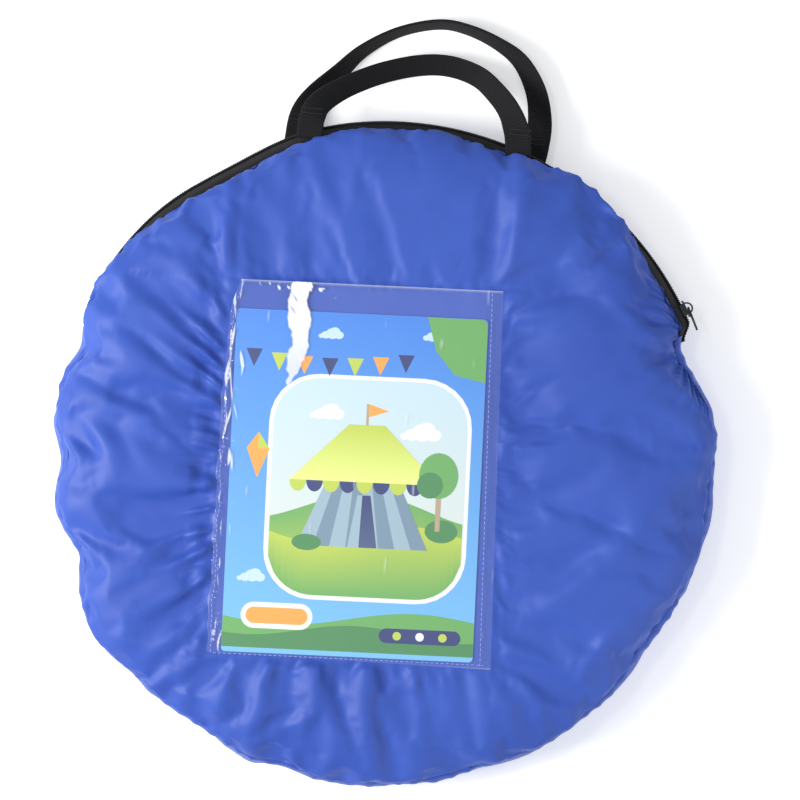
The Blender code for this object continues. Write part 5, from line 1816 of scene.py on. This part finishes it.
def stack_shape(edge, low, high, crown, folds, swell, seed):
    """Rings of a folded stack from the middle of its top to the middle of its foot."""
    top = [(edge * t, high + crown(edge * t)) for t in np.linspace(0, 0.985, 30)]
    start = top[-1][1]
    side = []
    for t in np.linspace(0, 1, folds * 8 + 1)[1:-1]:
        side.append((edge - swell * abs(math.cos(math.pi * folds * t)) ** 0.7, start + (low - start) * t))
    foot = [(edge * t, low) for t in np.linspace(0.985, 0, 14)]
    profile = np.array(top + side + foot)
    angle = FULL_TURN * np.arange(STACK_SPOKES) / STACK_SPOKES
    radius, angle_grid = np.meshgrid(profile[:, 0], angle, indexing="ij")
    height = np.broadcast_to(profile[:, 1:2], radius.shape)
    x, y = radius * np.cos(angle_grid), radius * np.sin(angle_grid)
    near_top = kept((height - (low + high) / 2) / (3 * MM))
    height = height + (soft_noise(x, y, 70 * MM, seed) * 0.6 - 0.5) * MM * near_top
    pull = (soft_noise(x, y + height * 6, 50 * MM, seed + 1) * 1.2 - 1.4) * MM * (radius / edge) ** 3
    return polar(radius + pull, angle_grid, height)


def closed_stack(name, grid):
    """A turned form whose first and last rows are single points on the axis."""
    rings, spokes = grid.shape[:2]
    body = disc_object(name, grid[:-1], grid[:-1, :, :2])
    shape = bmesh.new()
    shape.from_mesh(body.data)
    shape.verts.ensure_lookup_table()
    last = [shape.verts[k] for k in range(len(shape.verts) - spokes, len(shape.verts))]
    shape.faces.new(last)
    bmesh.ops.recalc_face_normals(shape, faces=shape.faces)
    shape.to_mesh(body.data)
    shape.free()
    body.data.shade_smooth()
    return body


def under_front(radius):
    """Room below the front cloth's shoulder, as a drop from the stack's top."""
    share = kept((radius - (SEAM_RADIUS - FRONT_SHOULDER)) / FRONT_SHOULDER)
    return (BAG_HEIGHT - FRONT_SEAM_HEIGHT) * (math.sqrt(1 - share ** 2) - 1)


def add_stack(name, node, grid, deep, light):
    """A folded stack in soft polyester taffeta, in two near tones."""
    look = Finish(name + "_taffeta", Roughness=0.6, Sheen_Weight=0.2)
    cloth_finish(look, deep, light, 14.0, TAFFETA_PITCH, TAFFETA_RISE)
    stack = finish_piece(closed_stack(name + "_stack", grid), "bag", look.material, (node,))
    print(name, "stack:", triangles(stack), "triangles")


roof_low, roof_high = EAVES_HIGH.z + STACK_GAP, BAG_HEIGHT - ROOF_ROOM
roof_grid = stack_shape(STACK_EDGE, roof_low, roof_high, under_front, 4, 2.2 * MM, 61)
add_stack("roof", "folded_roof", roof_grid, (0.42, 0.50, 0.05), (0.56, 0.64, 0.09))
wall_grid = stack_shape(STACK_EDGE, WALL_FOOT, HOOP_LOW.z - STACK_GAP, lambda r: 0.0, 3, 1.8 * MM, 71)
add_stack("wall", "folded_wall", wall_grid, (0.13, 0.20, 0.27), (0.22, 0.30, 0.37))

# %% [markdown]
# Each hoop is one wire wound three times. Its loops spread a little and rise and
# fall between them, so that they never touch, and a crimped ferrule holds its
# two ends. The poles' rods have the right form already and get a finish alone.

# %% Hoops and poles
HOOP_INSET = 32.51 * MM
HOOP_RADIUS = SEAM_RADIUS - HOOP_INSET
HOOP_SPREAD = 2.8 * MM
HOOP_WIRE = 1.5 * MM
LOOP_POINTS = 24
LOOPS = 3


def hoop_path(height, count=720):
    """A wire wound three times, straight where its ferrule grips it, as one closed smooth curve."""
    turn = FULL_TURN * np.arange(LOOPS * LOOP_POINTS) / LOOP_POINTS
    spread = turn / LOOPS
    points = polar(HOOP_RADIUS + HOOP_SPREAD * np.cos(spread), turn, height + HOOP_SPREAD * np.sin(spread))
    grip = [points[0] + (points[1] - points[0]) * t for t in (0.25, 0.5, 0.75)]
    points = np.concatenate([points[:1], grip, points[1:], points[:1]])
    route, length = smooth_route(points, count + 1)
    return route[:-1], length


for name, low, high in (("base_hoop", HOOP_LOW, HOOP_HIGH), ("eaves_hoop", EAVES_LOW, EAVES_HIGH)):
    path, length = hoop_path((low.z + high.z) / 2)
    wire = tube(name + "_wire", path, HOOP_WIRE, 10, closed=True)
    finish_piece(wire, "bag", STEEL, (name,))
    print(name, "wire", round(length / MM), "mm")
    rounded_copy(name + "_ferrule", name + "_sleeve", "bag", 0.2 * MM, STEEL)

for name, node in nodes.items():
    if name.startswith("pole_"):
        node.data.materials.clear()
        node.data.materials.append(FIBRE)
        node.data.shade_smooth()

# %% [markdown]
